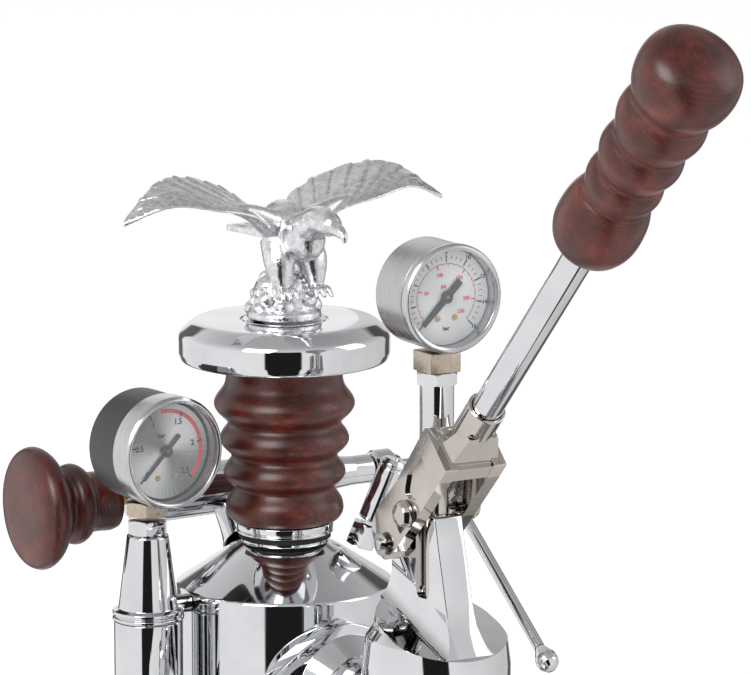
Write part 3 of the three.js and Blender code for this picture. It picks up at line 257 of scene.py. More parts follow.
def softbox(name, place, width, height, power, target):
    """A large rectangular lamp that faces its target."""
    data = bpy.data.lights.new(name, "AREA")
    data.shape = "RECTANGLE"
    data.size = width
    data.size_y = height
    data.energy = power
    lamp = bpy.data.objects.new(name, data)
    lamp.location = place
    lamp.rotation_euler = (Vector(place) - target).to_track_quat("Z", "Y").to_euler()
    bpy.context.collection.objects.link(lamp)
    lamp.visible_camera = False


KEY_WATTS = 30
FILL_WATTS = 6
softbox("key_softbox", (-1.6, -0.9, 1.6), 1.2, 1.2, KEY_WATTS, aim)
softbox("fill_softbox", (1.5, -1.0, 1.2), 1.0, 1.4, FILL_WATTS, aim)
bpy.context.scene.view_settings.view_transform = "Standard"

floor_mesh = bpy.data.meshes.new("studio_floor")
FLOOR_HALF = 14.0
PAPER_GRAINS = 900.0  # per metre
PAPER_GLOW = 0.62
corners = [(-FLOOR_HALF, -FLOOR_HALF, 0), (FLOOR_HALF, -FLOOR_HALF, 0), (FLOOR_HALF, FLOOR_HALF, 0),
    (-FLOOR_HALF, FLOOR_HALF, 0)]
floor_mesh.from_pydata(corners, [], [(0, 1, 2, 3)])
floor = bpy.data.objects.new("studio_floor", floor_mesh)
bpy.context.collection.objects.link(floor)
paper, paper_tree, paper_shader, paper_place = new_material("white_paper_sweep")
grain = noise_value(paper_tree, paper_place, PAPER_GRAINS)
wire(paper_tree, paper_shader, Base__Color=ramp(paper_tree, grain, (0.3, "#fbfbfb"), (0.7, "#ffffff")),
    Roughness=0.9)
wire(paper_tree, paper_shader, Emission__Color=linear("#ffffff"), Emission__Strength=PAPER_GLOW)
floor_mesh.materials.append(paper)
floor.visible_glossy = False  # metal reflects the cloth below the table too
print("studio: world, 2 softboxes and a paper floor")

# %% [markdown]
# ## Finishes
# Every finish starts from what the real one is. Chrome is a thin bright plate on polished brass: it mirrors
# everything, with a faint waviness from the buffing wheel and slightly duller patches where hands touch it.

# %% Chrome
WAVE_MM = 9.0  # distance between the swells that buffing leaves
HANDLING_MM = 22.0  # size of the duller patches


def chrome_plate(name, wave_depth_mm, tone="#dfe0e2"):
    made, tree, shader, place = new_material(name)
    swell = noise_value(tree, place, 1 / (WAVE_MM * MM), 1.0)
    patches = noise_value(tree, place, 1 / (HANDLING_MM * MM), 3.0, 0.6)
    wire(
        tree,
        shader,
        Base__Color=ramp(tree, patches, (0.3, tone), (0.7, "#d4d5d8")),
        Metallic=1.0,
        Roughness=spread(tree, patches, 0.025, 0.07),
        Normal=bump(tree, swell, wave_depth_mm),
    )
    return made


CHROME = chrome_plate("polished_chrome", 0.010)
print("made", CHROME.name)

# %% [markdown]
# The bird is chrome too, but plated over a casting that was only tumbled, so its feathers and rock keep a
# grainy skin. Noise at two sizes stands for the sand of the mould and for the chisel marks of the pattern.

# %% Chromed casting
SAND_MM = 0.9  # coarser than real moulding sand, so that it shows
CHISEL_MM = 3.0


def chromed_casting():
    made, tree, shader, place = new_material("chromed_casting")
    sand = noise_value(tree, place, 1 / (SAND_MM * MM), 3.0, 0.6)
    chisel = noise_value(tree, place, 1 / (CHISEL_MM * MM), 4.0, 0.65)
    both = node(tree, "ShaderNodeMath", {0: sand, 1: chisel}, operation="ADD").outputs[0]
    wire(
        tree,
        shader,
        Base__Color=ramp(tree, chisel, (0.3, "#c8c9cc"), (0.65, "#eeeff0")),
        Metallic=1.0,
        Roughness=spread(tree, sand, 0.10, 0.24),
        Normal=bump(tree, both, 0.16),
    )
    return made


CASTING = chromed_casting()
print("made", CASTING.name)

# %% [markdown]
# The fork and its pins are nickel plated. Nickel is warmer than chrome, and the cast fork under it is only
# linished, so its mirror image is blurred and a little uneven.

# %% Nickel
LINISH_MM = 1.6


def nickel_plate():
    made, tree, shader, place = new_material("satin_nickel_plate")
    patches = noise_value(tree, place, 1 / (HANDLING_MM * MM), 3.0)
    linish = noise_value(tree, place, 1 / (LINISH_MM * MM), 3.0, 0.6)
    wire(
        tree,
        shader,
        Base__Color=ramp(tree, patches, (0.3, "#bcb5af"), (0.7, "#cdc6c0")),
        Metallic=1.0,
        Roughness=spread(tree, patches, 0.06, 0.13),
        Normal=bump(tree, linish, 0.012),
    )
    return made


NICKEL = nickel_plate()
print("made", NICKEL.name)

# %% [markdown]
# Gauge rims are stainless steel, turned on a spindle and brushed while they spin, so the scratches run
# round the axis. Noise squeezed along the gauge's axis draws those hoops.

# %% Brushed steel
SCRATCH_MM = 0.35  # real scratches are 0.05 mm apart; drawn coarser so that they show


def brushed(name, stretch, tone_low="#a9aaac", tone_high="#cfd0d1", rough=(0.2, 0.38)):
    """Stretch is how many times finer the pattern is along each axis."""
    made, tree, shader, place = new_material(name)
    repeats = [v / (SCRATCH_MM * MM) / 12 for v in stretch]
    lines = noise_value(tree, scaled(tree, place, repeats), 1.0, 4.0, 0.7)
    wire(
        tree,
        shader,
        Base__Color=ramp(tree, lines, (0.3, tone_low), (0.7, tone_high)),
        Metallic=1.0,
        Roughness=spread(tree, lines, *rough),
        Normal=bump(tree, lines, 0.012),
    )
    return made


GAUGE_STEEL = brushed("brushed_gauge_steel", (0.4, 12.0, 0.4))
SHEET_STEEL = brushed("brushed_sheet_steel", (0.4, 12.0, 12.0))
BRASS = brushed("turned_brass", (1.0, 1.0, 12.0), "#a8895c", "#c9ab78", (0.22, 0.36))
HEX_BRASS = brushed("milled_nickel_brass", (3.0, 3.0, 3.0), "#b3a393", "#cfc2b3", (0.25, 0.4))
print("made", GAUGE_STEEL.name, SHEET_STEEL.name, BRASS.name, HEX_BRASS.name)

# %% [markdown]
# The grips are turned from beech, stained dark red-brown and varnished. Growth layers are flat sheets here,
# because the blank is small beside the tree: where the lathe cuts across them they draw long ovals on each
# bulge. Short dark pores follow the fibres. The varnish gives a soft shine over a rougher wood.

# %% Stained beech
LAYER_MM = 1.5  # one year's growth
PORE_MM = 0.35  # width of a pore, drawn twice as wide as in beech
PORE_LENGTH_MM = 5.0


def stained_beech(name, fibre_turn, centre):
    """fibre_turn turns the blank's own Z, along its fibres, to the way they run in the part."""
    made, tree, shader, place = new_material(name)
    blank = scaled(tree, place, (1 / MM,) * 3, fibre_turn, [v * MM for v in centre])
    drift = noise_value(tree, blank, 0.05, 2.0)
    split = node(tree, "ShaderNodeSeparateXYZ", {0: blank})
    bent = node(tree, "ShaderNodeMath", {0: drift, 1: 9.0, 2: split.outputs["Y"]}, operation="MULTIPLY_ADD")
    phase = node(tree, "ShaderNodeMath", {0: bent.outputs[0], 1: 2 * math.pi / LAYER_MM},
        operation="MULTIPLY")
    layer = node(tree, "ShaderNodeMath", {0: phase.outputs[0]}, operation="SINE").outputs[0]
    pore_scale = (1 / PORE_MM, 1 / PORE_MM, 1 / PORE_LENGTH_MM)
    stretched = node(tree, "ShaderNodeVectorMath", {0: blank, 1: pore_scale}, operation="MULTIPLY")
    pores = noise_value(tree, stretched.outputs[0], 1.0, 2.0, 0.6)
    cloud = noise_value(tree, blank, 0.09, 3.0)
    layer_part = node(tree, "ShaderNodeMath", {0: layer, 1: 0.028}, operation="MULTIPLY").outputs[0]
    pore_part = node(tree, "ShaderNodeMath", {0: pores, 1: 0.42, 2: layer_part},
        operation="MULTIPLY_ADD").outputs[0]
    tone = node(tree, "ShaderNodeMath", {0: cloud, 1: 0.45, 2: pore_part},
        operation="MULTIPLY_ADD").outputs[0]
    wire(
        tree,
        shader,
        Base__Color=ramp(tree, tone, (0.30, "#280a05"), (0.45, "#49170c"), (0.62, "#76301e")),
        Roughness=spread(tree, pores, 0.3, 0.42),
        IOR=1.5,
        Coat__Weight=0.18,
        Coat__Roughness=0.3,
        Normal=bump(tree, pores, 0.05, 0.6),
    )
    return made


print("wood: growth layers every", LAYER_MM, "mm")

# %% [markdown]
# The small parts are ordinary: moulded black ABS with a fine spark-eroded texture, black EPDM rubber with a
# dusty bloom, clear float glass with faint wipe marks, and printed aluminium dials. The boiler gauge's dial
# is brushed outward from its centre before printing. Its glint is painted into its colour, as lighter and
# darker sectors round the centre.

# %% Plastics, rubber, glass and dials
TEXTURE_MM = 0.6  # spark-eroded grain, drawn coarser than the real 0.1 mm


def moulded(name, low, high, rough, grain_mm=TEXTURE_MM, ior=1.53):
    made, tree, shader, place = new_material(name)
    grain = noise_value(tree, place, 1 / (grain_mm * MM), 2.0)
    wire(
        tree,
        shader,
        Base__Color=ramp(tree, grain, (0.3, low), (0.7, high)),
        Roughness=spread(tree, grain, rough - 0.06, rough + 0.06),
        IOR=ior,
        Normal=bump(tree, grain, 0.02),
    )
    return made


def clear_glass(name, alpha):
    made, tree, shader, place = new_material(name)
    wipes = noise_value(tree, place, 1 / (HANDLING_MM * MM), 3.0)
    wire(
        tree,
        shader,
        Base__Color=ramp(tree, wipes, (0.3, "#e9eef0"), (0.7, "#f6f9fa")),
        Roughness=spread(tree, wipes, 0.01, 0.05),
        IOR=1.52,
        Alpha=alpha,
    )
    return made


def dial_metal(name, centre, front, low, high, metallic):
    """A dial brushed outward from its centre: noise read by the angle about that centre, and a painted glint
    of lighter and darker sectors round it.
    """
    made, tree, shader, place = new_material(name)
    turn = math.atan2(front.x, -front.y)
    flat = scaled(tree, place, (1.0, 1.0, 1.0), (0, 0, turn), [v * MM for v in centre])
    split = node(tree, "ShaderNodeSeparateXYZ", {0: flat})
    angle = node(tree, "ShaderNodeMath", {0: split.outputs["Z"], 1: split.outputs["X"]},
        operation="ARCTAN2")
    spoke = node(tree, "ShaderNodeMath", {0: angle.outputs[0], 1: 2.0}, operation="MULTIPLY").outputs[0]
    # painted glint: two lighter and two darker sectors round the dial's centre, put into its colour
    painted_glint = node(tree, "ShaderNodeMath", {0: spoke}, operation="SINE").outputs[0]
    around = node(tree, "ShaderNodeCombineXYZ", {"X": angle.outputs[0]}).outputs[0]
    fine = noise_value(tree, around, 40.0, 3.0)
    both = node(tree, "ShaderNodeMath", {0: painted_glint, 1: 0.3, 2: fine}, operation="MULTIPLY_ADD").outputs[0]
    wire(
        tree,
        shader,
        Base__Color=ramp(tree, both, (0.25, low), (0.75, high)),
        Metallic=metallic,
        Roughness=spread(tree, fine, 0.35, 0.5),
    )
    return made


BLACK_ABS = moulded("moulded_black_abs", "#161617", "#232325", 0.45)
CASE_PAINT = moulded("satin_black_case_paint", "#2b2c2e", "#3a3b3d", 0.42)
EPDM = moulded("black_epdm_rubber", "#101010", "#1c1c1b", 0.8)
BLACK_INK = moulded("black_dial_ink", "#141518", "#202226", 0.5)
RED_INK = moulded("red_dial_ink", "#c22a38", "#d2414c", 0.5)
POINTER = moulded("satin_black_pointer", "#141517", "#1e2023", 0.4)
LENS_GLASS = clear_glass("clear_gauge_glass", 0.06)
TUBE_GLASS = clear_glass("borosilicate_tube", 0.30)
print("made plastics, rubber, ink and glass")

# %% [markdown]
# ## Making parts
# Most of this machine is turned, so one function spins an outline of (radius, height) points about an
# axis. A third number in a point rounds that corner, as a lathe tool or a file does: sharp corners look
# drawn, and rounded ones catch the light. Other parts are plates cut from an outline, or bars bent along
# a path.

# %% Outlines
SIDES = 96
FILLET_STEPS = 6


def rounded(points):
    """Replaces each corner that has a third number by a curve of about that radius."""
    outline = []
    for i, point in enumerate(points):
        here = Vector(point[:2])
        radius = point[2] if len(point) > 2 else 0
        if not radius or i in (0, len(points) - 1):
            outline.append(here)
            continue
        before = Vector(points[i - 1][:2]) - here
        after = Vector(points[i + 1][:2]) - here
        cut = radius / max(math.tan(before.angle(after) / 2), 0.05)
        start = here + before.normalized() * min(cut, before.length * 0.49)
        end = here + after.normalized() * min(cut, after.length * 0.49)
        for step in range(FILLET_STEPS + 1):
            t = step / FILLET_STEPS
            outline.append(start * (1 - t) ** 2 + here * 2 * t * (1 - t) + end * t * t)
    return outline


def flowing(points, steps=6):
    """A smooth curve through the points, as a turner's sweep runs through the marks on a blank."""
    vectors = [Vector(p) for p in points]
    ends = [2 * vectors[0] - vectors[1], *vectors, 2 * vectors[-1] - vectors[-2]]
    curve = []
    for a, b, c, d in zip(ends, ends[1:], ends[2:], ends[3:]):
        for step in range(steps):
            t = step / steps
            curve.append(0.5 * (2 * b + (c - a) * t + (2 * a - 5 * b + 4 * c - d) * t ** 2
                                + (3 * b - a - 3 * c + d) * t ** 3))
    curve.append(vectors[-1])
    return curve


print("a rounded corner takes", len(rounded([(0, 0), (5, 0, 2), (5, 5)])) - 2, "points")

# %% [markdown]
# A place says where a part stands and which way it faces. It could be typed as three angles, but axles,
# tubes and dials are easier to aim: name the point and the direction, and let the matrix work out the
# turn.

# %% Places
def upright(x, y, z):
    return Matrix.Translation((x, y, z))


def along(start, direction):
    """A place whose own Z runs along the direction."""
    turn = UP.rotation_difference(Vector(direction)).to_matrix().to_4x4()
    return Matrix.Translation(start) @ turn


def facing(centre, front):
    """A place whose own X is to the right, Y is up and Z comes out of the face."""
    out = Vector(front).normalized()
    right = UP.cross(out).normalized()
    axes = Matrix((right, out.cross(right), out)).transposed().to_4x4()
    return Matrix.Translation(centre) @ axes


print("a dial that faces front looks along", [round(v) for v in facing((0, 0, 0), FRONT).to_3x3().col[2]])

# %% [markdown]
# A lathe, a sheet cutter and a tube bender make nearly all of the metal, so there is one function for each.
# Primitives with modifiers could do the same, but an outline keeps every diameter where it can be read.
# Edges sharper than a set angle stay sharp in the shading, and the others look smooth.

# %% Meshes
SHARP = math.radians(34)
MERGE_DISTANCE = 1e-7


def as_piece(name, vertices, faces, place=None, smooth=True):
    """A piece from vertices in millimetres, put in its place and scaled to metres."""
    mesh = bpy.data.meshes.new(name)
    mesh.from_pydata([tuple(v) for v in vertices], [], faces)
    mesh.transform(Matrix.Scale(MM, 4) @ (place or Matrix.Identity(4)))
    mesh.validate()
    made = bpy.data.objects.new(name, mesh)
    bpy.context.collection.objects.link(made)
    face_outward(mesh)
    if smooth:
        mesh.shade_smooth()
        mesh.set_sharp_from_angle(angle=SHARP)
    return made


def face_outward(mesh):
    """Merges doubled points and turns every face to look out of the body."""
    work = bmesh.new()
    work.from_mesh(mesh)
    bmesh.ops.remove_doubles(work, verts=work.verts, dist=MERGE_DISTANCE)
    bmesh.ops.recalc_face_normals(work, faces=work.faces)
    work.to_mesh(mesh)
    work.free()


def turned(name, outline, place, sides=SIDES):
    """A body turned about its place's own Z. The outline is (radius, height) in millimetres."""
    outline = [Vector(p[:2]) for p in outline]
    closed = (outline[0] - outline[-1]).length < 1e-6
    if closed:
        outline.pop()
    vertices, rows = [], []
    for radius, height in outline:
        count = 1 if radius < 1e-6 else sides
        rows.append([len(vertices) + i for i in range(count)])
        for i in range(count):
            turn = 2 * math.pi * i / count
            vertices.append((radius * math.cos(turn), radius * math.sin(turn), height))
    faces = []
    pairs = list(zip(rows, rows[1:])) + ([(rows[-1], rows[0])] if closed else [])
    for low, high in pairs:
        if len(low) == 1 and len(high) == 1:
            continue
        for i in range(sides):
            j = (i + 1) % sides
            corners = [low[i % len(low)], low[j % len(low)], high[j % len(high)], high[i % len(high)]]
            faces.append(list(dict.fromkeys(corners)))
    return as_piece(name, vertices, faces, place)


def plate(name, outline, low, high, place):
    """An outline of (x, y) points given thickness along its place's own Z."""
    count = len(outline)
    vertices = [(p[0], p[1], z) for z in (low, high) for p in outline]
    sides = [[i, (i + 1) % count, count + (i + 1) % count, count + i] for i in range(count)]
    faces = [list(range(count))[::-1], list(range(count, 2 * count)), *sides]
    return as_piece(name, vertices, faces, place)


def bent_bar(name, path, radii, place=None, sides=32):
    """A round bar along a path of points, with one radius or one for each point."""
    path = [Vector(p) for p in path]
    radii = radii if isinstance(radii, (list, tuple)) else [radii] * len(path)
    vertices, faces = [], []
    across = None
    for i, point in enumerate(path):
        ahead = path[min(i + 1, len(path) - 1)] - path[max(i - 1, 0)]
        ahead.normalize()
        if across is None:
            across = ahead.orthogonal().normalized()
        across = (across - ahead * across.dot(ahead)).normalized()
        other = ahead.cross(across)
        for k in range(sides):
            turn = 2 * math.pi * k / sides
            vertices.append(point + (across * math.cos(turn) + other * math.sin(turn)) * radii[i])
    for i in range(len(path) - 1):
        for k in range(sides):
            j = (k + 1) % sides
            faces.append([i * sides + k, i * sides + j, (i + 1) * sides + j, (i + 1) * sides + k])
    faces.append(list(range(sides))[::-1])
    faces.append([(len(path) - 1) * sides + k for k in range(sides)])
    return as_piece(name, vertices, faces, place)


print("edges over", round(math.degrees(SHARP)), "degrees stay sharp in the shading")

# %% [markdown]
# Castings are drilled, milled and ground after they are poured. Boolean tools do the same to a mesh: they
# cut, join or keep what two bodies share. A bevel comes last, because no real edge is perfectly sharp, and
# the small round catches the light.

# %% Joining, cutting and edge rounding
def settle(piece):
    """Makes what the modifiers show into the piece's own mesh."""
    graph = bpy.context.evaluated_depsgraph_get()
    mesh = bpy.data.meshes.new_from_object(piece.evaluated_get(graph))
    piece.modifiers.clear()
    piece.data = mesh
    return piece


def combine(piece, tools, operation):
    for tool in tools:
        change = piece.modifiers.new("change", "BOOLEAN")
        change.operation = operation
        change.solver = "EXACT"
        change.object = tool
        settle(piece)
        bpy.data.objects.remove(tool)
    piece.data.shade_smooth()
    piece.data.set_sharp_from_angle(angle=SHARP)
    return piece


def cut(piece, *tools):
    return combine(piece, tools, "DIFFERENCE")


def join(piece, *others):
    return combine(piece, others, "UNION")


def common(piece, *others):
    return combine(piece, others, "INTERSECT")


SHARP_AFTER_ROUNDING = math.radians(50)


def soften(piece, width_mm, segments=3, angle=32):
    """Rounds the edges that are sharper than the angle."""
    rounding = piece.modifiers.new("rounding", "BEVEL")
    rounding.width = width_mm * MM
    rounding.segments = segments
    rounding.limit_method = "ANGLE"
    rounding.angle_limit = math.radians(angle)
    rounding.use_clamp_overlap = True
    rounding.harden_normals = False
    settle(piece)
    piece.data.shade_smooth()
    piece.data.set_sharp_from_angle(angle=SHARP_AFTER_ROUNDING)
    return piece


def hexagon(name, across_corners, low, high, place, chamfer=0.8, bore=0):
    """A hexagon nut or bolt head with turned chamfers."""
    points = [(across_corners * math.cos(math.radians(60 * i)),
        across_corners * math.sin(math.radians(60 * i)))
              for i in range(6)]
    head = plate(name, points, low, high, place)
    flat = across_corners - chamfer
    envelope = [(0, low), (flat, low), (across_corners + 0.1, low + 0.6 * chamfer),
                (across_corners + 0.1, high - 0.6 * chamfer), (flat, high), (0, high)]
    common(head, turned("envelope", envelope, place))
    if bore:
        cut(head, turned("bore", [(0, low - 1), (bore, low - 1), (bore, high + 1), (0, high + 1)], place))
    return soften(head, 0.25, 2)


def fit(piece, body, slot, material, *nodes):
    """Gives a finished piece its material, hangs it on its body, hides the imported nodes it replaces and
    prints its size.
    """
    piece.data.materials.clear()
    piece.data.materials.append(material)
    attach(piece, body)
    if nodes:
        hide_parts(*nodes)
    size = [round(v / MM, 1) for v in piece.dimensions]
    print(f"{piece.name}: {size} mm, {len(piece.data.polygons)} faces, rides on {body}")
    return piece


print("tools ready: cut, join, common, soften, hexagon and fit")

# %% [markdown]
# ## Boiler
# The boiler is a brass tube with a spun dome, polished and plated. Its shoulder is a tight bend, and the
# dome sweeps up to the neck. The wall is 1.4 mm, so the outline runs up the outside and down the inside.

# %% Boiler
boiler_mid, boiler_low, boiler_high = spot("boiler")
BOILER_R = boiler_high.x
NECK_R = 18.0
WALL = 1.4
boiler_tall = boiler_high.z - boiler_low.z
shoulder = boiler_tall - 19
boiler_at = upright(boiler_mid.x, boiler_mid.y, boiler_low.z)
boiler_outline = rounded([
    (BOILER_R - 14, 0, 0), (BOILER_R, 0, 2), (BOILER_R, shoulder, 2.2),
    (NECK_R + 5.5, boiler_tall - 4.2, 9),
    (NECK_R, boiler_tall - 1.4, 1.2), (NECK_R, boiler_tall, 0.4), (NECK_R - 3.1, boiler_tall, 0.4),
    (NECK_R - 3.1, boiler_tall - 4.2, 0.5), (NECK_R + 3, boiler_tall - 5, 4),
    (BOILER_R - WALL, shoulder - 2, 1.5),
    (BOILER_R - WALL, WALL), (BOILER_R - 14, WALL), (BOILER_R - 14, 0),
])
boiler = turned("boiler_shell", boiler_outline, boiler_at, 160)
fit(boiler, "machine", "chrome", CHROME, "boiler")

ring_mid, ring_low, ring_high = spot("boiler_ring")
ring_tall = ring_high.z - ring_low.z
ring_outline = rounded([
    (BOILER_R + 0.3, 0), (BOILER_R + 7, 0, 0.6), (BOILER_R + 7, ring_tall / 3, 1.2),
    (BOILER_R + 2.3, ring_tall, 1),
    (BOILER_R + 0.3, ring_tall, 0.4), (BOILER_R + 0.3, 0),
])
fit(turned("insulating_ring", ring_outline, upright(ring_mid.x, ring_mid.y, ring_low.z)),
    "machine", "black_plastic", BLACK_ABS, "boiler_ring")

# %% [markdown]
# ## Cap
# The cap unscrews by its wooden grip. A chrome skirt carries the thread, the grip is one turned piece with
# four bulges that grow towards the top, and a heavy chrome disc covers it and carries the bird.

# %% Cap
BEECH_UPRIGHT = stained_beech("stained_beech_cap", (0, math.radians(90), math.radians(-18)),
    spot("cap_grip")[0])
cap_mid, skirt_low, skirt_high = spot("cap_skirt")
skirt_tall = skirt_high.z - skirt_low.z
COLLAR_R = skirt_high.x
skirt_outline = rounded([
    (0, 0), (14.3, 0, 0.8), (14.3, skirt_tall - 4.4, 0.3), (COLLAR_R, skirt_tall - 4.4, 0.5),
    (COLLAR_R, skirt_tall - 3.4, 0.3), (COLLAR_R - 0.5, skirt_tall - 3.2, 0.2),
    (COLLAR_R - 0.5, skirt_tall - 2.8, 0.2),
    (COLLAR_R, skirt_tall - 2.6, 0.3), (COLLAR_R, skirt_tall, 0.6), (0, skirt_tall),
])
fit(turned("cap_skirt_turned", skirt_outline, upright(cap_mid.x, cap_mid.y, skirt_low.z)),
    "cap", "chrome", CHROME, "cap_skirt")

grip_mid, grip_low = spot("cap_grip")[:2]
bulges = flowing([
    (20.2, 0), (22.8, 1.2), (24.7, 4.6), (24.2, 9.0), (21.7, 13.0), (21.5, 15.0), (24.6, 18.2),
    (25.7, 21.0),
    (24.6, 24.2), (22.6, 26.8), (22.7, 28.8), (26.0, 32.2), (27.2, 35.0), (26.2, 38.2), (24.2, 41.0),
    (24.4, 43.0), (28.2, 46.8), (29.6, 50.0), (28.6, 53.2), (25.6, 57.4), (24.6, 61.0), (24.8, 64.4),
    (25.6, 68.0),
])
grip_outline = [Vector((0, 0)), *bulges, Vector((0, 68))]
fit(turned("cap_grip_turned", grip_outline, upright(grip_mid.x, grip_mid.y, grip_low.z), 128),
    "cap", "wood", BEECH_UPRIGHT, "cap_grip")

disc_mid, disc_low, disc_high = spot("cap_disc")
DISC_R = 44.5
disc_tall = disc_high.z - disc_low.z
disc_outline = rounded([
    (0, 1.5), (22.5, 1.5, 0.5), (23.5, 0, 0.5), (DISC_R - 1, 0, 3.2), (DISC_R, 4, 3),
    (DISC_R, disc_tall - 5.5, 5),
    (DISC_R - 6.5, disc_tall, 6), (18.5, disc_tall, 0.3), (18.2, disc_tall - 0.6, 0.3),
    (17.6, disc_tall - 0.6, 0.3),
    (17.3, disc_tall, 0.3), (0, disc_tall),
])
fit(turned("cap_disc_turned", disc_outline, upright(disc_mid.x, disc_mid.y, disc_low.z), 160),
    "cap", "chrome", CHROME, "cap_disc")

# %% [markdown]
# ## Sight glass tower
# A glass tube shows the water level. A slotted chrome tube shields it, a beaded ring closes the shield, and
# a cone with a hexagon on top carries the boiler gauge.

# %% Sight glass tower
tower_mid, shield_low, shield_high = spot("sight_shield")
tower_x, tower_y = tower_mid.x, tower_mid.y
SHIELD_R = 14.4
shield_tall = shield_high.z - shield_low.z


def tower_at(z):
    return upright(tower_x, tower_y, z)


shield_outline = rounded([
    (SHIELD_R - WALL, 0), (SHIELD_R, 0, 0.4), (SHIELD_R, shield_tall, 0.4), (SHIELD_R - WALL, shield_tall),
    (SHIELD_R - WALL, 0),
])
shield = turned("sight_shield_tube", shield_outline, tower_at(shield_low.z))
window_low, window_high = 14, shield_tall - 21
window = [(6.5, window_low + 6.5), (6.5, window_high - 6.5), *[
    (6.5 * math.cos(math.radians(a)),
    window_high - 6.5 + 6.5 * math.sin(math.radians(a))) for a in range(15, 180, 15)
], (-6.5, window_high - 6.5), (-6.5, window_low + 6.5), *[
    (6.5 * math.cos(math.radians(a)),
    window_low + 6.5 + 6.5 * math.sin(math.radians(a))) for a in range(195, 360, 15)
]]
cutter = plate("window", window, 4, 30, facing((tower_x, tower_y, shield_low.z), FRONT))
cut(shield, cutter)
fit(soften(shield, 0.3, 2), "machine", "chrome", CHROME, "sight_shield")

upper_low = spot("sight_upper_fitting")[1]
CONE_FOOT = 15.0
cone_outline = rounded([
    (0, 5), (6.3, 5), (6.3, 0), (CONE_FOOT - 0.6, 0, 0.3), (CONE_FOOT, 0.6, 0.4), (CONE_FOOT, 1.5, 0.4),
    (CONE_FOOT - 0.7, 2.0, 0.2), (CONE_FOOT - 0.7, 2.5, 0.2), (CONE_FOOT, 3.0, 0.4), (CONE_FOOT, 4.3, 0.5),
    (12.6, 5.1, 0.4), (12.4, 6.0, 0.5), (8.7, 35.6, 1.0), (7.0, 36.2, 0.2), (0, 36.2),
])
cone = turned("gauge_cone", cone_outline, tower_at(upper_low.z))
pipe_outline = [(0, 0), (4, 0), (4, -tower_x - BOILER_R - 0.3), (0, -tower_x - BOILER_R - 0.3)]
pipe_z = upper_low.z + 4.5
pipe = turned("pipe", pipe_outline, along((tower_x, tower_y, pipe_z), RIGHT), 48)
cut(pipe, turned("tool", [(0, -6), (8, -6), (8, 6), (0, 6)], tower_at(pipe_z)))
fit(soften(join(cone, pipe), 0.5, 2), "machine", "chrome", CHROME, "sight_upper_fitting")
nut = hexagon("gauge_cone_nut", 9.0, 36.4, 42.6, tower_at(upper_low.z), 1.2)
fit(nut, "machine", "chrome", CHROME)

lower_low, lower_high = spot("sight_lower_fitting")[1:]
lower_tall = lower_high.z - lower_low.z
lower_outline = rounded([
    (0, 0), (6, 0, 1), (8, 6, 2), (13.4, 10, 1), (13.4, 14, 0.3), (12.8, 14.4, 0.2), (12.8, 15, 0.2),
    (13.4, 15.4, 0.3),
    (13.4, lower_tall, 0.6), (6.3, lower_tall, 0.3), (6.3, lower_tall - 4.7), (0, lower_tall - 4.7),
])
lower = turned("sight_lower_body", lower_outline, tower_at(lower_low.z))
lower_pipe = turned("pipe", [(0, 0), (5, 0), (5, -tower_x - BOILER_R - 0.3),
    (0, -tower_x - BOILER_R - 0.3)],
                    along((tower_x, tower_y, lower_low.z + 13), RIGHT), 48)
cut(lower_pipe, turned("tool", [(0, -8), (7, -8), (7, 12), (0, 12)], tower_at(lower_low.z + 13)))
fit(soften(join(lower, lower_pipe), 0.5, 2), "machine", "chrome", CHROME, "sight_lower_fitting")

glass_low, glass_high = spot("sight_glass")[1:]
glass_tall = glass_high.z - glass_low.z
glass_outline = rounded([(4, 0), (6, 0, 0.5), (6, glass_tall, 0.5), (4, glass_tall), (4, 0)])
fit(turned("sight_glass_tube", glass_outline, tower_at(glass_low.z), 48),
    "machine", "clear_glass", TUBE_GLASS, "sight_glass")

# %% [markdown]
# ## Gauges
# A pressure gauge is a steel can with a rolled rim, a glass, a printed dial and a needle with a tail that
# balances it. The marks are thin printed shapes, and the numbers are set in a plain typeface. Each gauge is
# built in its own place, with X to the right and Z out of the dial.

# %% Gauge marks
PRINT_DEPTH = 0.05


def number(name, text, size, x, y, place, height):
    """A printed number, as a thin mesh on the dial."""
    curve = bpy.data.curves.new(name, "FONT")
    curve.body = text
    curve.size = size
    curve.align_x = "CENTER"
    curve.align_y = "CENTER"
    curve.extrude = PRINT_DEPTH / 2
    curve.resolution_u = 3
    curve.offset = 0.035 * size  # a bold face
    holder = bpy.data.objects.new(name, curve)
    bpy.context.collection.objects.link(holder)
    mesh = bpy.data.meshes.new_from_object(holder.evaluated_get(bpy.context.evaluated_depsgraph_get()))
    bpy.data.objects.remove(holder)
    mesh.transform(Matrix.Scale(MM, 4) @ place @ Matrix.Translation((x, y, height)))
    made = bpy.data.objects.new(name, mesh)
    bpy.context.collection.objects.link(made)
    return made


def clock(radius, degrees):
    """A point of the dial at so many degrees clockwise from its top."""
    turn = math.radians(degrees)
    return radius * math.sin(turn), radius * math.cos(turn)


def dial_band(name, inner, outer, start, end, place, height):
    """A printed arc or, when it is narrow, a tick."""
    steps = max(1, int(abs(end - start) / 3))
    turns = [start + (end - start) * i / steps for i in range(steps + 1)]
    outline = [clock(outer, t) for t in turns] + [clock(inner, t) for t in reversed(turns)]
    return plate(name, outline, height, height + PRINT_DEPTH, place)


def tick(name, inner, outer, degrees, width, place, height):
    half = math.degrees(width / 2 / outer)
    return dial_band(name, inner, outer, degrees - half, degrees + half, place, height)


def one_piece(name, parts):
    """Several prints that lie on one dial, as one mesh."""
    mesh = bpy.data.meshes.new(name)

    work = bmesh.new()
    for part in parts:
        work.from_mesh(part.data)
        bpy.data.objects.remove(part)
    work.to_mesh(mesh)
    work.free()
    made = bpy.data.objects.new(name, mesh)
    bpy.context.collection.objects.link(made)
    return made


SWEEP = 270  # degrees from the first mark to the last
ZERO = -135


def scale_turn(share):
    return ZERO + SWEEP * share


print("a dial's scale sweeps", SWEEP, "degrees")

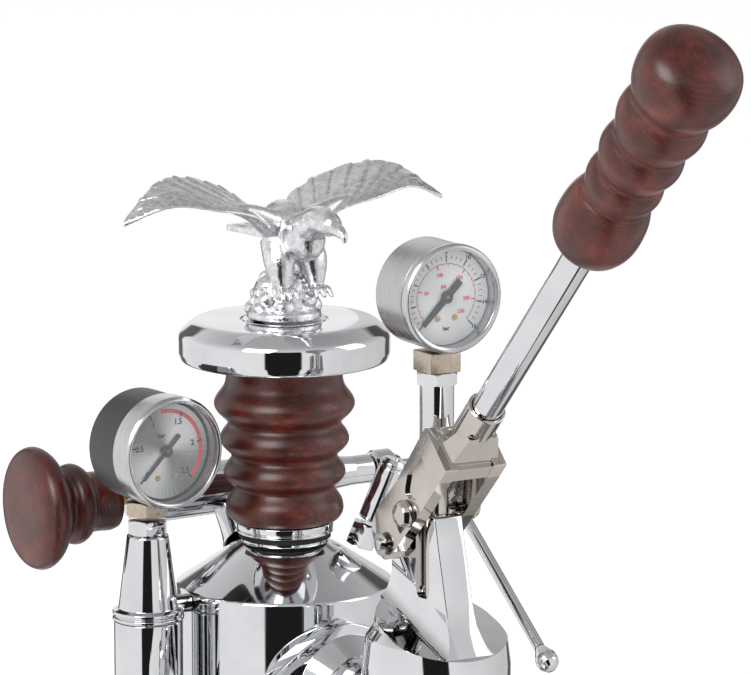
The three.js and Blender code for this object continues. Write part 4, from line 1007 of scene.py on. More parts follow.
# %% [markdown]
# The needle is a thin stamping with a short heavy tail, on a turned hub. Two screws hold the dial, and the
# rim holds the glass. Both gauges use them, so each is a function that takes its sizes and its place.

# %% Needle, screws, rim and glass
def make_needle(name, length, tail, width, place, height, body, node_name):
    blade = plate(name, [(-width / 2, -tail), (width / 2, -tail), (width / 2, 0), (0.32 * width, length),
                         (-0.32 * width, length), (-width / 2, 0)], height, height + 0.45,
                         place @ zero_turn())
    hub = turned("hub", rounded([(0, 0.1), (2.6, 0.1, 0.1), (2.6, 0.9, 0.3), (0, 0.9)]),
        place @ lifted(height), 48)
    needle = join(blade, hub)
    fit(soften(needle, 0.08, 2), body, "needle_paint", POINTER, node_name)
    pin = turned(f"{name}_pin", rounded([(0, 0.95), (0.55, 0.95, 0.1), (0.55, 1.25, 0.2), (0, 1.25)]),
                 place @ lifted(height), 24)
    fit(pin, body, "brass", BRASS)


def zero_turn():
    return Matrix.Rotation(math.radians(-ZERO), 4, "Z")


def lifted(height):
    return Matrix.Translation((0, 0, height))


def dial_screws(name, place, height, spread_x, low_y, body):
    for side, x in (("left", -spread_x), ("right", spread_x)):
        at = place @ Matrix.Translation((x, low_y, height))
        screw = turned(f"{name}_screw_{side}", rounded([(0, 0.02), (1.25, 0.02), (1.25, 0.35, 0.3), (0,
            0.5)]), at, 32)
        slot_tool = plate("slot", [(-1.5, -0.14), (1.5, -0.14), (1.5, 0.14), (-1.5, 0.14)], 0.3, 1, at)
        fit(cut(screw, slot_tool), body, "brass", BRASS)


print("gauge tools ready")

# %% [markdown]
# The boiler gauge reads 0 to 2.5 bar, with a red arc where the safety valve is about to open. Its can is
# painted black and its steel rim is pressed on from the front.

# %% Boiler gauge
gauge_joint = next(j for j in frame["joints"] if j["name"] == "boiler_needle_turn")
BOILER_GAUGE_FRONT = -Vector(gauge_joint["axis"])
gauge_axis = Vector(gauge_joint["pos_m"]) / MM
tower_axis = Vector((tower_x, tower_y, gauge_axis.z))
boiler_dial_at = facing(tower_axis, BOILER_GAUGE_FRONT)
RIM_R = 23.5
RIM_FACE = 22.5
CASE_BACK = -11.5
DIAL_FACE = 14.8

case_outline = rounded([
    (0, CASE_BACK, 0), (20, CASE_BACK, 0.8), (22.9, CASE_BACK + 3, 3), (22.9, 10.2, 0.2), (20.2, 10.2),
    (20.2, 9.2), (0, 9.2),
])
fit(turned("boiler_gauge_can", case_outline, boiler_dial_at, 128), "machine", "black_plastic", CASE_PAINT,
    "boiler_gauge_case")
rim_outline = rounded([
    (20.6, 10.5), (23.1, 10.5, 0.4), (RIM_R, 11.1, 0.6), (RIM_R, 20.6, 1.6), (22.2, RIM_FACE, 1.0),
    (20.9, 21.6, 0.7), (20.6, 19.6, 0.3), (20.6, 10.5),
])
RIM_STEEL = brushed("brushed_boiler_gauge_rim", (0.4, 12.0, 0.4), "#b4b5b7", "#d8d9da", (0.14, 0.28))
fit(turned("boiler_gauge_rim", rim_outline, boiler_dial_at, 128), "machine", "brushed_steel", RIM_STEEL,
    "boiler_gauge_bezel")
# the boiler dial's colour carries a strong painted glint, in lighter and darker sectors
SUNBURST_PAINTED_GLINT = dial_metal("sunburst_dial_painted_glint", tower_axis, BOILER_GAUGE_FRONT, "#77787a", "#dfe0e1", 0.7)
dial_outline = rounded([(0, 9.5), (19.9, 9.5), (19.9, DIAL_FACE - 0.1, 0.1), (0, DIAL_FACE - 0.1)])
fit(turned("boiler_gauge_face", dial_outline, boiler_dial_at, 96), "machine", "dial_paint", SUNBURST_PAINTED_GLINT,
    "boiler_gauge_dial")

face = DIAL_FACE - 0.08
marks = []
for step in range(26):
    at = scale_turn(step / 25)
    if step % 5 == 0:
        marks.append(tick("mark", 15.2, 17.6, at, 0.75, boiler_dial_at, face + 0.06))
for share, text in ((0, "0"), (0.2, "0.5"), (0.4, "1"), (0.6, "1.5"), (0.8, "2"), (1, "2.5")):
    x, y = clock(13.0, scale_turn(share))
    marks.append(number("mark", text, 3.3, x, y, boiler_dial_at, face))
marks.append(number("mark", "bar", 2.8, -2.2, 6.6, boiler_dial_at, face))
fit(one_piece("boiler_gauge_marks", marks), "machine", "needle_paint", BLACK_INK)
red_arc = dial_band("boiler_gauge_red_arc", 15.9, 17.6, scale_turn(0.47), scale_turn(1.0), boiler_dial_at,
    face)
fit(red_arc, "machine", "needle_paint", RED_INK)
dial_screws("boiler_gauge", boiler_dial_at, face, 4.2, -11.0, "machine")
make_needle("boiler_gauge_pointer", 15.8, 8.8, 1.7, boiler_dial_at, DIAL_FACE + 0.4, "boiler_needle",
            "boiler_gauge_needle")
lens_outline = rounded([(0, 19.3), (20.3, 19.3, 0.2), (20.3, 20.4, 0.2), (0, 20.7)])
fit(turned("boiler_gauge_glass", lens_outline, boiler_dial_at, 96), "machine", "clear_glass", LENS_GLASS,
    "boiler_gauge_lens")
stem_low, stem_high = spot("boiler_gauge_stem")[1:]
gauge_nut = hexagon("boiler_gauge_nut", 9.6, 0, stem_high.z - stem_low.z, tower_at(stem_low.z), 1.0)
fit(gauge_nut, "machine", "brass", HEX_BRASS, "boiler_gauge_stem")

# %% [markdown]
# ## Safety valve
# A small chrome can screwed over a hexagon holds the spring that keeps the valve shut. It leans out of the
# dome, square to the sheet. Turned and milled, with a bevel where the can closes.

# %% Safety valve
VALVE_TILT = math.radians(22)
VALVE_BEARING = math.radians(-26.6)
valve_axis = Vector((
    math.sin(VALVE_TILT) * math.cos(VALVE_BEARING), math.sin(VALVE_TILT) * math.sin(VALVE_BEARING),
    math.cos(VALVE_TILT),
))
can_centre = spot("safety_valve_cap")[0]
can_at = along(can_centre - valve_axis * 14, valve_axis)
can_outline = rounded([
    (4.3, 0), (5.5, 0, 0.5), (6, 1.2, 0.5), (6, 23.5, 0.4), (5.7, 24, 0.2), (5.7, 24.6, 0.2), (6, 25, 0.3),
    (6, 26.2, 0.4),
    (4.6, 28, 0.4), (2.2, 28, 0.2), (1.9, 27.2, 0.2), (0, 27.2), (0, 24.8), (4.3, 24.8), (4.3, 0),
])
fit(turned("safety_valve_can", can_outline, can_at, 64), "machine", "chrome", CHROME, "safety_valve_cap")
hex_at = along(spot("safety_valve_base")[0] - valve_axis * 9.6, valve_axis)
hex_base = hexagon("safety_valve_hex", 6.9, 1.5, 11.4, hex_at, 0.9)
fit(hex_base, "machine", "chrome", CHROME, "safety_valve_base")

# %% [markdown]
# ## Steam valve
# The valve is one brass casting: a tapered tube lies across the back of the boiler, and a leg flares down
# into the dome. The wooden knob turns the spindle in its left end, and the wand hangs from its right end.

# %% Steam valve
body_low, body_high = spot("steam_valve_body")[1:]
knob_mid, knob_high = spot("steam_knob")[::2]
valve_y, valve_z = knob_mid.y, knob_mid.z
valve_span = body_high.x - body_low.x
tube_outline = rounded([
    (0, 0), (8.8, 0, 0.4), (8.8, 2, 0.4), (11.2, 2.4, 0.6), (11.9, 9, 1), (12.1, 18, 8), (11.4, 47, 12),
    (9.8, 74, 20),
    (6.4, 108, 10), (6.4, valve_span - 1, 0.6), (5.6, valve_span, 0.2), (0, valve_span),
])
tube = turned("steam_valve_tube", tube_outline, along((body_low.x, valve_y, valve_z), RIGHT), 96)
leg_path = [(0, valve_y, valve_z - 2), (0, valve_y - 5, valve_z - 9), (0, valve_y - 11, valve_z - 15),
    (0, valve_y - 17, valve_z - 20.4)]
leg = bent_bar("leg", [tuple(p) for p in flowing(leg_path, 4)],
    [8.5 + 2.6 * (i / 12) ** 3 for i in range(13)], None, 64)
dome_tool = turned("tool", [(0, 0), (BOILER_R + 8, 0), (BOILER_R + 0.3, shoulder + 0.4),
    (NECK_R + 5, boiler_tall - 3.4), (0, boiler_tall - 3.4)],
                   boiler_at, 96)
fit(soften(join(tube, cut(leg, dome_tool)), 0.8, 3), "machine", "chrome", CHROME, "steam_valve_body")

spindle_outline = rounded([(0, 0), (3, 0, 0.3), (3, 30, 0.3), (2.7, 31, 0.2), (2.7, 68, 0.2),
    (1.4, 70, 0.2), (0, 70)])
spindle_low = spot("steam_spindle")[1]
fit(turned("steam_valve_spindle", spindle_outline, along((spindle_low.x, valve_y, valve_z), RIGHT), 32),
    "knob", "brass", BRASS, "steam_spindle")

BEECH_KNOB = stained_beech("stained_beech_knob", (0, 0, math.radians(25)), knob_mid)
knob_curve = flowing([
    (12.2, 0), (12.9, 3), (12.7, 7.5), (13.2, 12), (15.9, 15), (17.2, 18), (16.6, 20.8), (14.7, 23),
    (14.9, 24.8),
    (18.6, 27.2), (23.2, 30), (25.7, 33.4), (25.9, 36.2), (24.4, 38.9), (21, 40.6), (14, 41.6), (0, 41.9),
])
knob_outline = [Vector((0, 23)), Vector((3.3, 23)), Vector((3.3, 0)), *knob_curve]
knob = turned("steam_knob_turned", knob_outline, along((knob_high.x, valve_y, valve_z), -RIGHT), 128)
fit(knob, "knob", "wood", BEECH_KNOB, "steam_knob")
screw_at = along((knob_high.x - 6, valve_y, valve_z), FRONT)
grub = turned("knob_grub_screw", rounded([(0, 10), (1.7, 10), (1.7, 12.9, 0.3), (0.9, 12.9), (0.9, 11.6),
    (0, 11.6)]), screw_at, 24)
fit(grub, "knob", "brass", CASE_PAINT)

# %% [markdown]
# ## Steam wand
# A thin tube bends down behind a union nut and ends in a bulb drilled for the steam. The nut and the bulb
# are turned; the tube is bent round a former.

# %% Steam wand
nut_low, nut_high = spot("wand_nut")[1:]
nut_at = along((nut_low.x, valve_y, valve_z), RIGHT)
nut_span = nut_high.x - nut_low.x
nut_outline = rounded([(2.8, 0), (6.9, 0, 0.5), (7.9, 1.4, 0.8), (7.9, 9, 0.8), (6.2, 10.6, 1),
    (4.6, nut_span, 0.8), (2.8, nut_span), (2.8, 0)])
fit(turned("wand_union_nut", nut_outline, nut_at, 64), "machine", "chrome", CHROME, "wand_nut")

WAND_SLOPE = math.radians(36)
WAND_R = 2.45
BEND = 9
wand_low = spot("steam_wand")[1]
down = Vector((0, -math.cos(WAND_SLOPE), -math.sin(WAND_SLOPE)))
tip_mid = spot("wand_tip")[0]
elbow = Vector((tip_mid.x, valve_y, valve_z))
before_bend, after_bend = elbow - RIGHT * BEND, elbow + down * BEND
bend = [before_bend * (1 - t) ** 2 + elbow * 2 * t * (1 - t) + after_bend * t * t
    for t in (i / 12 for i in range(13))]
tip_start = elbow + down * ((tip_mid - elbow).dot(down) - 6.1)
wand = bent_bar("steam_wand_tube", [Vector((wand_low.x, valve_y, valve_z)), *bend, tip_start - down * 0.3],
    WAND_R, None, 40)
fit(wand, "wand", "chrome", CHROME, "steam_wand")
bulb_outline = rounded([(0, 0), (WAND_R, 0, 0.2), (3.6, 2.4, 1), (4.7, 5, 2), (4.9, 7, 2), (4.5, 9.4, 2),
    (2.7, 11.6, 1.2), (0, 12.1)])
bulb = turned("steam_wand_tip", bulb_outline, along(tip_start, down), 64)
hole_way = (down + Vector((-0.75, -0.35, 0))).normalized()
hole = turned("hole", [(0, 2), (0.8, 2), (0.8, 9), (0, 9)], along(tip_start + down * 6.6, hole_way), 20)
fit(cut(bulb, hole), "wand", "chrome", CHROME, "wand_tip")

# %% [markdown]
# ## Bird
# The finial is a bird of prey that lands on a rock with raised wings. The real one is a lost-wax casting.
# Here the wings are lofted sheets with feathers pressed in, the body is built up from swellings like
# clay, and one remesh turns the lot into a single skin.

# %% Bird
WING_ROWS = 150
CHORD_ROWS = 34
FEATHERS = 8
bird_base = Vector((0, cap_mid.y - 45, disc_high.z - 370.2))
LEADING = flowing([(3, 33, 404), (8, 34, 406.5), (20, 32, 416), (37, 31, 420), (57, 36, 422.5),
    (75.6, 43, 415.5)], 10)
TRAILING = flowing([(3, 60, 410), (8, 62, 416), (22, 61, 425.5), (42, 57, 431.5), (58, 51, 430),
    (76, 44, 416.5)], 10)


def along_curve(curve, t):
    place = t * (len(curve) - 1)
    index = min(int(place), len(curve) - 2)
    return curve[index].lerp(curve[index + 1], place - index)


def wing_skin(side):
    """Both skins of one wing: the upper one carries feathers that overlap like tiles."""
    vertices, faces = [], []
    for row in range(WING_ROWS + 1):
        t = row / WING_ROWS
        front, back = along_curve(LEADING, t), along_curve(TRAILING, t)
        feather = (t * FEATHERS) % 1.0
        notch = 0.05 * feather ** 2 if t > 0.12 else 0
        back = back.lerp(front, notch)
        for layer in (1, -1):
            for col in range(CHORD_ROWS + 1):
                c = col / CHORD_ROWS
                point = front.lerp(back, c)
                thickness = 0.5 + 2.4 * (1 - t * 0.6) * math.sin(math.pi * min(1,
                    c * 1.15 + 0.06)) ** 0.8 * (1 - c * 0.6)
                quill = ((t - 0.16 * c) * FEATHERS * 1.5) % 1.0
                relief = 0.9 * quill * min(1, max(0, (c - 0.34) * 6))
                covert = 0.55 * ((t * 17 + 0.5 * math.floor(c * 9)) % 1.0) * (c < 0.4) * (c > 0.08)
                point = point + Vector((0, 0, layer * (thickness / 2 + (relief + covert) * 0.8)))
                vertices.append((side * point.x, point.y, point.z))
    wide = CHORD_ROWS + 1
    for row in range(WING_ROWS):
        for layer in range(2):
            for col in range(CHORD_ROWS):
                a = (row * 2 + layer) * wide + col
                b = a + 2 * wide
                faces.append([a, a + 1, b + 1, b])
        for col in (0, CHORD_ROWS):
            a = row * 2 * wide + col
            faces.append([a, a + wide, a + 3 * wide, a + 2 * wide])
    for row in (0, WING_ROWS):
        for col in range(CHORD_ROWS):
            a = row * 2 * wide + col
            faces.append([a, a + 1, a + wide + 1, a + wide])
    return as_piece("wing", vertices, faces, Matrix.Translation(bird_base))


def swelling(centre, radii, tilt=0.0):
    """A smooth lump: a ball squeezed to three radii and tipped about X."""
    rows = [(math.sin(math.pi * i / 20), -math.cos(math.pi * i / 20)) for i in range(21)]
    squeeze = Matrix.Translation(bird_base + Vector(centre)) @ Matrix.Rotation(tilt, 4,
        "X") @ Matrix.Diagonal((*radii, 1))
    return turned("swelling", rows, squeeze, 32)


def limb(path, radii, steps=5):
    """A tapering bar through the points."""
    curve = [Vector(p) + bird_base for p in flowing(path, steps)]
    spread_radii = []
    for i in range(len(curve)):
        at = i / steps
        index = min(int(at), len(radii) - 2)
        spread_radii.append(radii[index] + (radii[index + 1] - radii[index]) * (at - index))
    return bent_bar("limb", curve, spread_radii, None, 20)


parts = [wing_skin(1), wing_skin(-1)]
parts.append(swelling((0, 41, 408), (10, 17, 12), math.radians(18)))
parts.append(swelling((0, 28, 407), (8.5, 11, 10), math.radians(30)))
parts.append(limb([(0, 24, 411), (0, 16, 415.5), (0, 9, 416), (0, 4, 414.5)], [7.6, 6.2, 5.4, 4.6]))
parts.append(swelling((0, 7.5, 415.2), (5.2, 7, 5)))
parts.append(limb([(0, 3, 414.2), (0, -2, 413.4), (0, -5.6, 411.6), (0, -6.4, 409.2)],
    [3.4, 2.6, 1.6, 0.7]))
for side in (1, -1):
    parts.append(limb([(side * 5.5, 40, 404), (side * 7.5, 35, 396), (side * 8, 33, 389),
        (side * 8, 32, 383)], [7.6, 6.8, 4.6, 2.6]))
    for toe in (-1, 0, 1):
        start = (side * 8, 32, 383.5)
        parts.append(limb([start, (side * 8 + toe * 2.6, 27.5, 384.5), (side * 8 + toe * 3.6, 24.4, 381.5)],
            [1.9, 1.6, 0.9], 4))
    shoulder_path = [(side * 2, 42, 409), (side * 10, 39, 412), (side * 19, 38, 417), (side * 30, 38, 420)]
    parts.append(limb(shoulder_path, [8, 6.2, 3.8, 1.6]))
tail = [(-4, 54), (4, 54), (8.4, 80), (6.4, 82.4), (4.2, 81.4), (2.2, 83.4), (0, 82.2), (-2.2, 83.4),
    (-4.2, 81.4), (-6.4, 82.4), (-8.4, 80)]
parts.append(plate("tail", tail, 403, 405.6, Matrix.Translation(bird_base)))
for x in (-5, 0, 5):
    parts.append(limb([(x * 0.4, 52, 405.4), (x * 0.8, 66, 405.4), (x * 1.1, 80, 404.8)], [2.4, 1.7, 1.1]))
ROCK_LUMPS = 34
parts.append(turned("rock", rounded([(0, 371), (15.8, 371, 0.3), (15.6, 373.4, 1), (13.4, 376, 2),
    (12.6, 384, 4), (8, 391, 4), (0, 392)]),
                    upright(0, cap_mid.y, bird_base.z), 48))
for lump in range(ROCK_LUMPS):
    turn = lump * 2.39996
    share = (lump + 0.5) / ROCK_LUMPS
    height = 373.4 + 16 * share
    radius = 11.6 - 6.0 * share ** 1.6
    size = 3.4 + 1.6 * math.sin(lump * 1.7) ** 2
    centre = (radius * math.cos(turn), 45 + radius * math.sin(turn), height)
    parts.append(swelling(centre, (size * 1.15, size * 0.9, size * 0.7), lump * 0.9))
bird = one_piece("cast_bird", parts)
skin = bird.modifiers.new("skin", "REMESH")
skin.mode = "VOXEL"
skin.voxel_size = 0.42 * MM
ease = bird.modifiers.new("ease", "SMOOTH")
ease.factor = 0.5
ease.iterations = 2
settle(bird)
bird.data.shade_smooth()
fit(bird, "cap", "chrome", CASTING, "bird_finial")

# %% [markdown]
# ## Group
# The group is a heavy casting: a bell over the cylinder, a sloping shoulder plane cut across it, and a
# horn that rises from the plane to hold the lever. A pipe and a rhombus flange join it to the boiler. All
# of it is ground flat and polished before plating, so the edges stay crisp.

# %% Group casting
group_low, group_high = spot("group_body")[1:]
rod_centre = spot("piston_rod")[0]
group_y = rod_centre.y
fulcrum = spot("fulcrum_pin")[0]
piston_pin = spot("piston_pin")[0]
LIFT = group_low.z - 168  # heights below are counted from the bottom cover
BELL_R = 30.0
BAYONET_R = 37.0


def group_at(z=0.0):
    return upright(0, group_y, LIFT + z)


def side_on(origin, angle=0.0):
    """A place whose X runs forward and up by the angle, Y is its upper side, and Z points left."""
    ahead = Vector((0, -math.cos(angle), math.sin(angle)))
    above = Vector((0, math.sin(angle), math.cos(angle)))
    axes = Matrix((ahead, above, -RIGHT)).transposed().to_4x4()
    return Matrix.Translation(origin) @ axes


bell_outline = rounded([
    (0, 168), (BAYONET_R, 168, 1.2), (BAYONET_R, 191, 2.5), (BELL_R + 0.4, 199, 6), (BELL_R, 206, 3),
    (BELL_R, 250, 10),
    (28.6, 261, 4), (25.4, 265.5, 4), (24.3, 271, 3), (24, 290), (0, 290),
])
bell = turned("group_casting", bell_outline, group_at(), 160)
SLOPE = math.tan(math.radians(18.6))


def shoulder_z(ahead):
    """Height of the shoulder plane, so far ahead of the piston's axis."""
    return 266.4 - ahead * SLOPE


side_plane = side_on((0, group_y, LIFT))
lid = plate("lid", [(-60, shoulder_z(-60)), (60, shoulder_z(60)), (60, 400), (-60, 400)], -60, 60,
    side_plane)
cut(bell, lid)
soften(bell, 0.9, 3, 24)
HORN_HALF = 6.5
horn_front = [(26.9, 257.0), (21.6, 266.5), (17.6, 277.5), (14.6, 289), (11.6, 300), (9.0, 311.3)]
horn = [(-24, 256), *horn_front, (-5, 311.3), (-17.7, 305.5), (-24.7, 300), (-25, 290)]
horn_piece = plate("horn", horn, -HORN_HALF, HORN_HALF, side_plane)
soften(horn_piece, 0.8, 3, 30)
FILLET_WIDE, FILLET_TALL, FOOT_STEPS = 5.5, 15.0, 9
feet = [(FILLET_WIDE, -2.0)]
for step in range(FOOT_STEPS + 1):
    swing = math.pi / 2 * step / FOOT_STEPS
    feet.append((FILLET_WIDE * (1 - math.sin(swing)), FILLET_TALL * (1 - math.cos(swing))))
flare_vertices, flare_faces = [], []
for grow, rise in feet:
    for u in (-24, 26.6 - 0.687 * rise if rise >= 0 else 24):
        for side in (-1, 1):
            flare_vertices.append((side * (HORN_HALF - 0.15 + grow), group_y - u,
                LIFT + shoulder_z(u) + rise))
count = len(feet)
for i in range(count - 1):
    a, b = 4 * i, 4 * (i + 1)
    flare_faces += [[a, a + 2, b + 2, b], [a + 3, a + 1, b + 1, b + 3], [a + 1, a, b, b + 1],
        [a + 2, a + 3, b + 3, b + 2]]
flare_faces += [[0, 1, 3, 2], [4 * count - 4, 4 * count - 2, 4 * count - 1, 4 * count - 3]]
flare = as_piece("flare", flare_vertices, flare_faces)
pipe_length = group_high.y - group_y
pipe_at = along((0, group_y, LIFT + 222), -FRONT)
neck = turned("neck", rounded([(0, 12), (17, 12), (17, pipe_length - 18, 4), (24, pipe_length - 8, 2),
    (24, pipe_length - 0.5), (0, pipe_length - 0.5)]), pipe_at)


def rhombus(half_width, half_height):
    """A rhombus with round points at its ends, as (x, y) points."""
    outline = []
    for i in range(96):
        turn = 2 * math.pi * i / 96
        x, y = math.cos(turn), math.sin(turn)
        power = 1 / (abs(x) ** 1.35 + abs(y) ** 1.35) ** (1 / 1.35)
        outline.append((half_width * x * power, half_height * y * power))
    return outline


flange = plate("flange", rhombus(44, 29), pipe_length - 8, pipe_length - 0.2, pipe_at)
soften(flange, 0.9, 3)
join(bell, horn_piece, flare, neck, flange)
gullet = [(5.2, 320), (5.2, 281), (4.4, 278.4), (2.6, 277), (-2.6, 277), (-4.4, 278.4), (-5.2, 281),
    (-5.2, 320)]
fulcrum_hole = turned("tool", [(0, -20), (2.8, -20), (2.8, 20), (0, 20)], along(fulcrum, RIGHT), 32)
bore = turned("tool", [(0, 160), (31, 160), (31, 182.3), (25.5, 182.3), (25.5, 253), (5.1, 253), (5.1, 330),
    (0, 330)], group_at(), 96)
boiler_tool = turned("tool", [(0, 0), (BOILER_R + 0.3, 0), (BOILER_R + 0.3, 400), (0, 400)],
    upright(0, boiler_mid.y, 0), 160)
cut(bell, plate("tool", gullet, -20, 20, side_plane), fulcrum_hole, bore, boiler_tool)
fit(bell, "machine", "chrome", CHROME, "group_body")

for side, x in (("left", -30), ("right", 30)):
    bolt_mid, bolt_low = spot(f"flange_bolt_{side}")[:2]
    bolt = hexagon(f"flange_bolt_{side}_head", 6.5, 0.1, 4.9, along((x, bolt_low.y + 5, bolt_mid.z), FRONT),
        0.7)
    fit(bolt, "machine", "chrome", CHROME, f"flange_bolt_{side}")

# %% [markdown]
# Inside the group a rubber gasket seals the portafilter, and a pierced screen spreads the water over the
# coffee. The screen's dome carries rings of drilled holes.

# %% Shower screen and gasket
screen_low = spot("shower_screen")[1]
screen = turned("shower_screen_disc", rounded([
    (0, 0), (3, 0, 0.2), (3, 1.1), (24.3, 1.1, 0.3), (24.3, 2.1, 0.2), (0, 2.1),
]), upright(0, group_y, screen_low.z), 96)
holes = []
for ring_index, (ring_radius, hole_count) in enumerate(((7, 10), (12, 18), (17, 26), (21.5, 32))):
    for i in range(hole_count):
        turn = 2 * math.pi * i / hole_count + ring_index * 0.2
        at = upright(ring_radius * math.cos(turn), group_y + ring_radius * math.sin(turn), screen_low.z - 1)
        holes.append(turned("hole", [(0, 0), (0.7, 0), (0.7, 5), (0, 5)], at, 10))
cut(screen, one_piece("holes", holes))
fit(screen, "machine", "brushed_steel", SHEET_STEEL, "shower_screen")
gasket_low, gasket_high = spot("group_gasket")[1:]
gasket_tall = gasket_high.z - gasket_low.z
gasket = turned("group_gasket_ring", rounded([
    (25.6, 0.1), (30.6, 0.1, 0.6), (30.6, gasket_tall, 0.6), (25.6, gasket_tall, 0.6), (25.6, 0.1),
]), upright(0, group_y, gasket_low.z), 96)
fit(gasket, "machine", "rubber", EPDM, "group_gasket")

# %% [markdown]
# ## Piston
# The nickel plated rod runs through the horn's slot. The brass piston below it has one groove for a rubber
# lip seal. They move together with the gauge on top.

# %% Piston
rod_low, rod_high = spot("piston_rod")[1:]
rod_tall = rod_high.z - rod_low.z
rod_piece = turned("piston_rod_ground", rounded([(0, 0), (4.8, 0, 0.4), (4.8, rod_tall, 0.4),
    (0, rod_tall)]),
                   upright(0, group_y, rod_low.z), 64)
cut(rod_piece, turned("tool", [(0, -20), (2.8, -20), (2.8, 20), (0, 20)], along(piston_pin, RIGHT), 32))
fit(rod_piece, "piston", "nickel", NICKEL, "piston_rod")
piston_low = spot("piston")[1]
piston_outline = rounded([
    (0, 0), (25, 0, 1), (25, 7, 0.4), (22, 7, 0.3), (22, 12, 0.3), (25, 12, 0.4), (25, 20, 1.2),
    (12, 20, 0.5), (10.6, 18.6, 0.6), (0, 18.6),
])
fit(turned("piston_turned", piston_outline, upright(0, group_y, piston_low.z)), "piston", "brass", BRASS,
    "piston")
seal_low, seal_high = spot("piston_seal")[1:]
seal_tall = seal_high.z - seal_low.z
fit(turned("piston_lip_seal", rounded([
    (22.3, 0), (25.2, 0, 0.4), (24.6, seal_tall * 0.5, 0.6), (25.2, seal_tall, 0.4), (22.3, seal_tall, 0.3),
    (22.3, 0),
]), upright(0, group_y, seal_low.z)), "piston", "rubber", EPDM, "piston_seal")

# %% [markdown]
# ## Group gauge
# A second gauge rides on the piston rod and reads the brewing pressure. A chrome sleeve, a hexagon and a
# square block of nickel brass carry it. Its can and rim are one brushed steel pressing.

# %% Group gauge
group_stem_low = spot("group_gauge_stem")[1]
sleeve_at = upright(0, group_y, group_stem_low.z)
sleeve = turned("group_gauge_sleeve", rounded([(0, 0), (6.9, 0, 0.5), (6.9, 25, 0.4), (0, 25)]), sleeve_at,
    64)
fit(sleeve, "piston", "nickel", CHROME, "group_gauge_stem")
fit(hexagon("group_gauge_hex", 9.2, 25, 30, sleeve_at, 1.0), "piston", "nickel", CHROME)
square = plate("group_gauge_block", [(-7, -7), (7, -7), (7, 7), (-7, 7)], 30.05, 38.4, sleeve_at)
fit(soften(square, 0.5, 2), "piston", "nickel", HEX_BRASS)

group_gauge_centre = spot("group_gauge_case")[0]
small_axis = Vector((0, group_y, group_gauge_centre.z))
small_at = facing(small_axis, FRONT)
GROUP_CASE_R = (spot("group_gauge_case")[2].x - spot("group_gauge_case")[1].x) / 2
GROUP_FACE = group_y - spot("group_gauge_case")[1].y
GROUP_BACK = group_y - spot("group_gauge_case")[2].y
small_case = rounded([
    (0, GROUP_BACK), (GROUP_CASE_R - 1.2, GROUP_BACK, 0.8), (GROUP_CASE_R - 0.4, GROUP_BACK + 1.4, 1),
    (GROUP_CASE_R - 0.4, GROUP_FACE - 5.2, 0.2),
    (GROUP_CASE_R - 0.7, GROUP_FACE - 5, 0.1), (GROUP_CASE_R - 0.7, GROUP_FACE - 4.4),
    (19.4, GROUP_FACE - 4.4), (19.4, GROUP_FACE - 7.6), (0, GROUP_FACE - 7.6),
])
fit(turned("group_gauge_can", small_case, small_at, 128), "piston", "brushed_steel", GAUGE_STEEL,
    "group_gauge_case")
small_rim = rounded([
    (19.3, GROUP_FACE - 4.2), (GROUP_CASE_R - 0.2, GROUP_FACE - 4.2, 0.3),
    (GROUP_CASE_R, GROUP_FACE - 3.4, 0.4), (GROUP_CASE_R, GROUP_FACE - 1.2, 1.2),
    (GROUP_CASE_R - 1.2, GROUP_FACE, 0.8), (GROUP_CASE_R - 2.6, GROUP_FACE - 0.6, 0.5),
    (19.3, GROUP_FACE - 2, 0.3), (19.3, GROUP_FACE - 4.2),
])
fit(turned("group_gauge_rim", small_rim, small_at, 128), "piston", "brushed_steel", RIM_STEEL)
# the pale dial carries the same painted glint, faintly, in lighter and darker sectors
PALE_DIAL = dial_metal("pale_silver_dial_painted_glint", small_axis, FRONT, "#cfd0d2", "#dfe0e1", 0.12)
small_face = GROUP_FACE - 6.6
fit(turned("group_gauge_face", rounded([(0, small_face - 0.7), (19.2, small_face - 0.7),
    (19.2, small_face, 0.1), (0, small_face)]), small_at, 96),
    "piston", "dial_paint", PALE_DIAL, "group_gauge_dial")
FULL_BAR = 16
FULL_PSI = 232
black_marks, red_marks = [], []
for step in range(2 * FULL_BAR + 1):
    outer = 16.4 if step % 4 else 16.8
    inner = 14.0 if step % 4 == 0 else 15.0
    black_marks.append(tick("mark", inner, outer, scale_turn(step / 2 / FULL_BAR),
        0.6 if step % 4 == 0 else 0.28, small_at, small_face + 0.02))
for bar in range(0, FULL_BAR + 1, 2):
    x, y = clock(18.0, scale_turn(bar / FULL_BAR))
    black_marks.append(number("mark", str(bar), 2.3, x, y, small_at, small_face + 0.03))
black_marks.append(number("mark", "bar", 2.4, 0, -12.6, small_at, small_face + 0.03))
fit(one_piece("group_gauge_marks", black_marks), "piston", "needle_paint", BLACK_INK)
red_marks.append(dial_band("mark", 13.2, 13.45, scale_turn(0), scale_turn(1), small_at, small_face + 0.02))
for psi in range(0, 231, 10):
    main = psi % 50 == 0
    red_marks.append(tick("mark", 11.4 if main else 12.5, 13.3, scale_turn(psi / FULL_PSI),
        0.5 if main else 0.22, small_at, small_face + 0.03))
for psi in (0, 50, 100, 150, 200, 230):
    x, y = clock(9.3, scale_turn(psi / FULL_PSI))
    red_marks.append(number("mark", str(psi), 2.1, x, y, small_at, small_face + 0.03))
red_marks.append(number("mark", "psi", 2.2, -1.2, 4.4, small_at, small_face + 0.03))
fit(one_piece("group_gauge_red_marks", red_marks), "piston", "needle_paint", RED_INK)
dial_screws("group_gauge", small_at, small_face, 3.9, -8.4, "piston")
make_needle("group_gauge_pointer", 15.2, 8.6, 3.0, small_at, small_face + 0.5, "group_needle",
    "group_gauge_needle")
fit(turned("group_gauge_glass", rounded([(0, GROUP_FACE - 3), (19.1, GROUP_FACE - 3, 0.2),
    (19.1, GROUP_FACE - 1.9, 0.2), (0, GROUP_FACE - 1.7)]), small_at, 96),
    "piston", "clear_glass", LENS_GLASS, "group_gauge_lens")

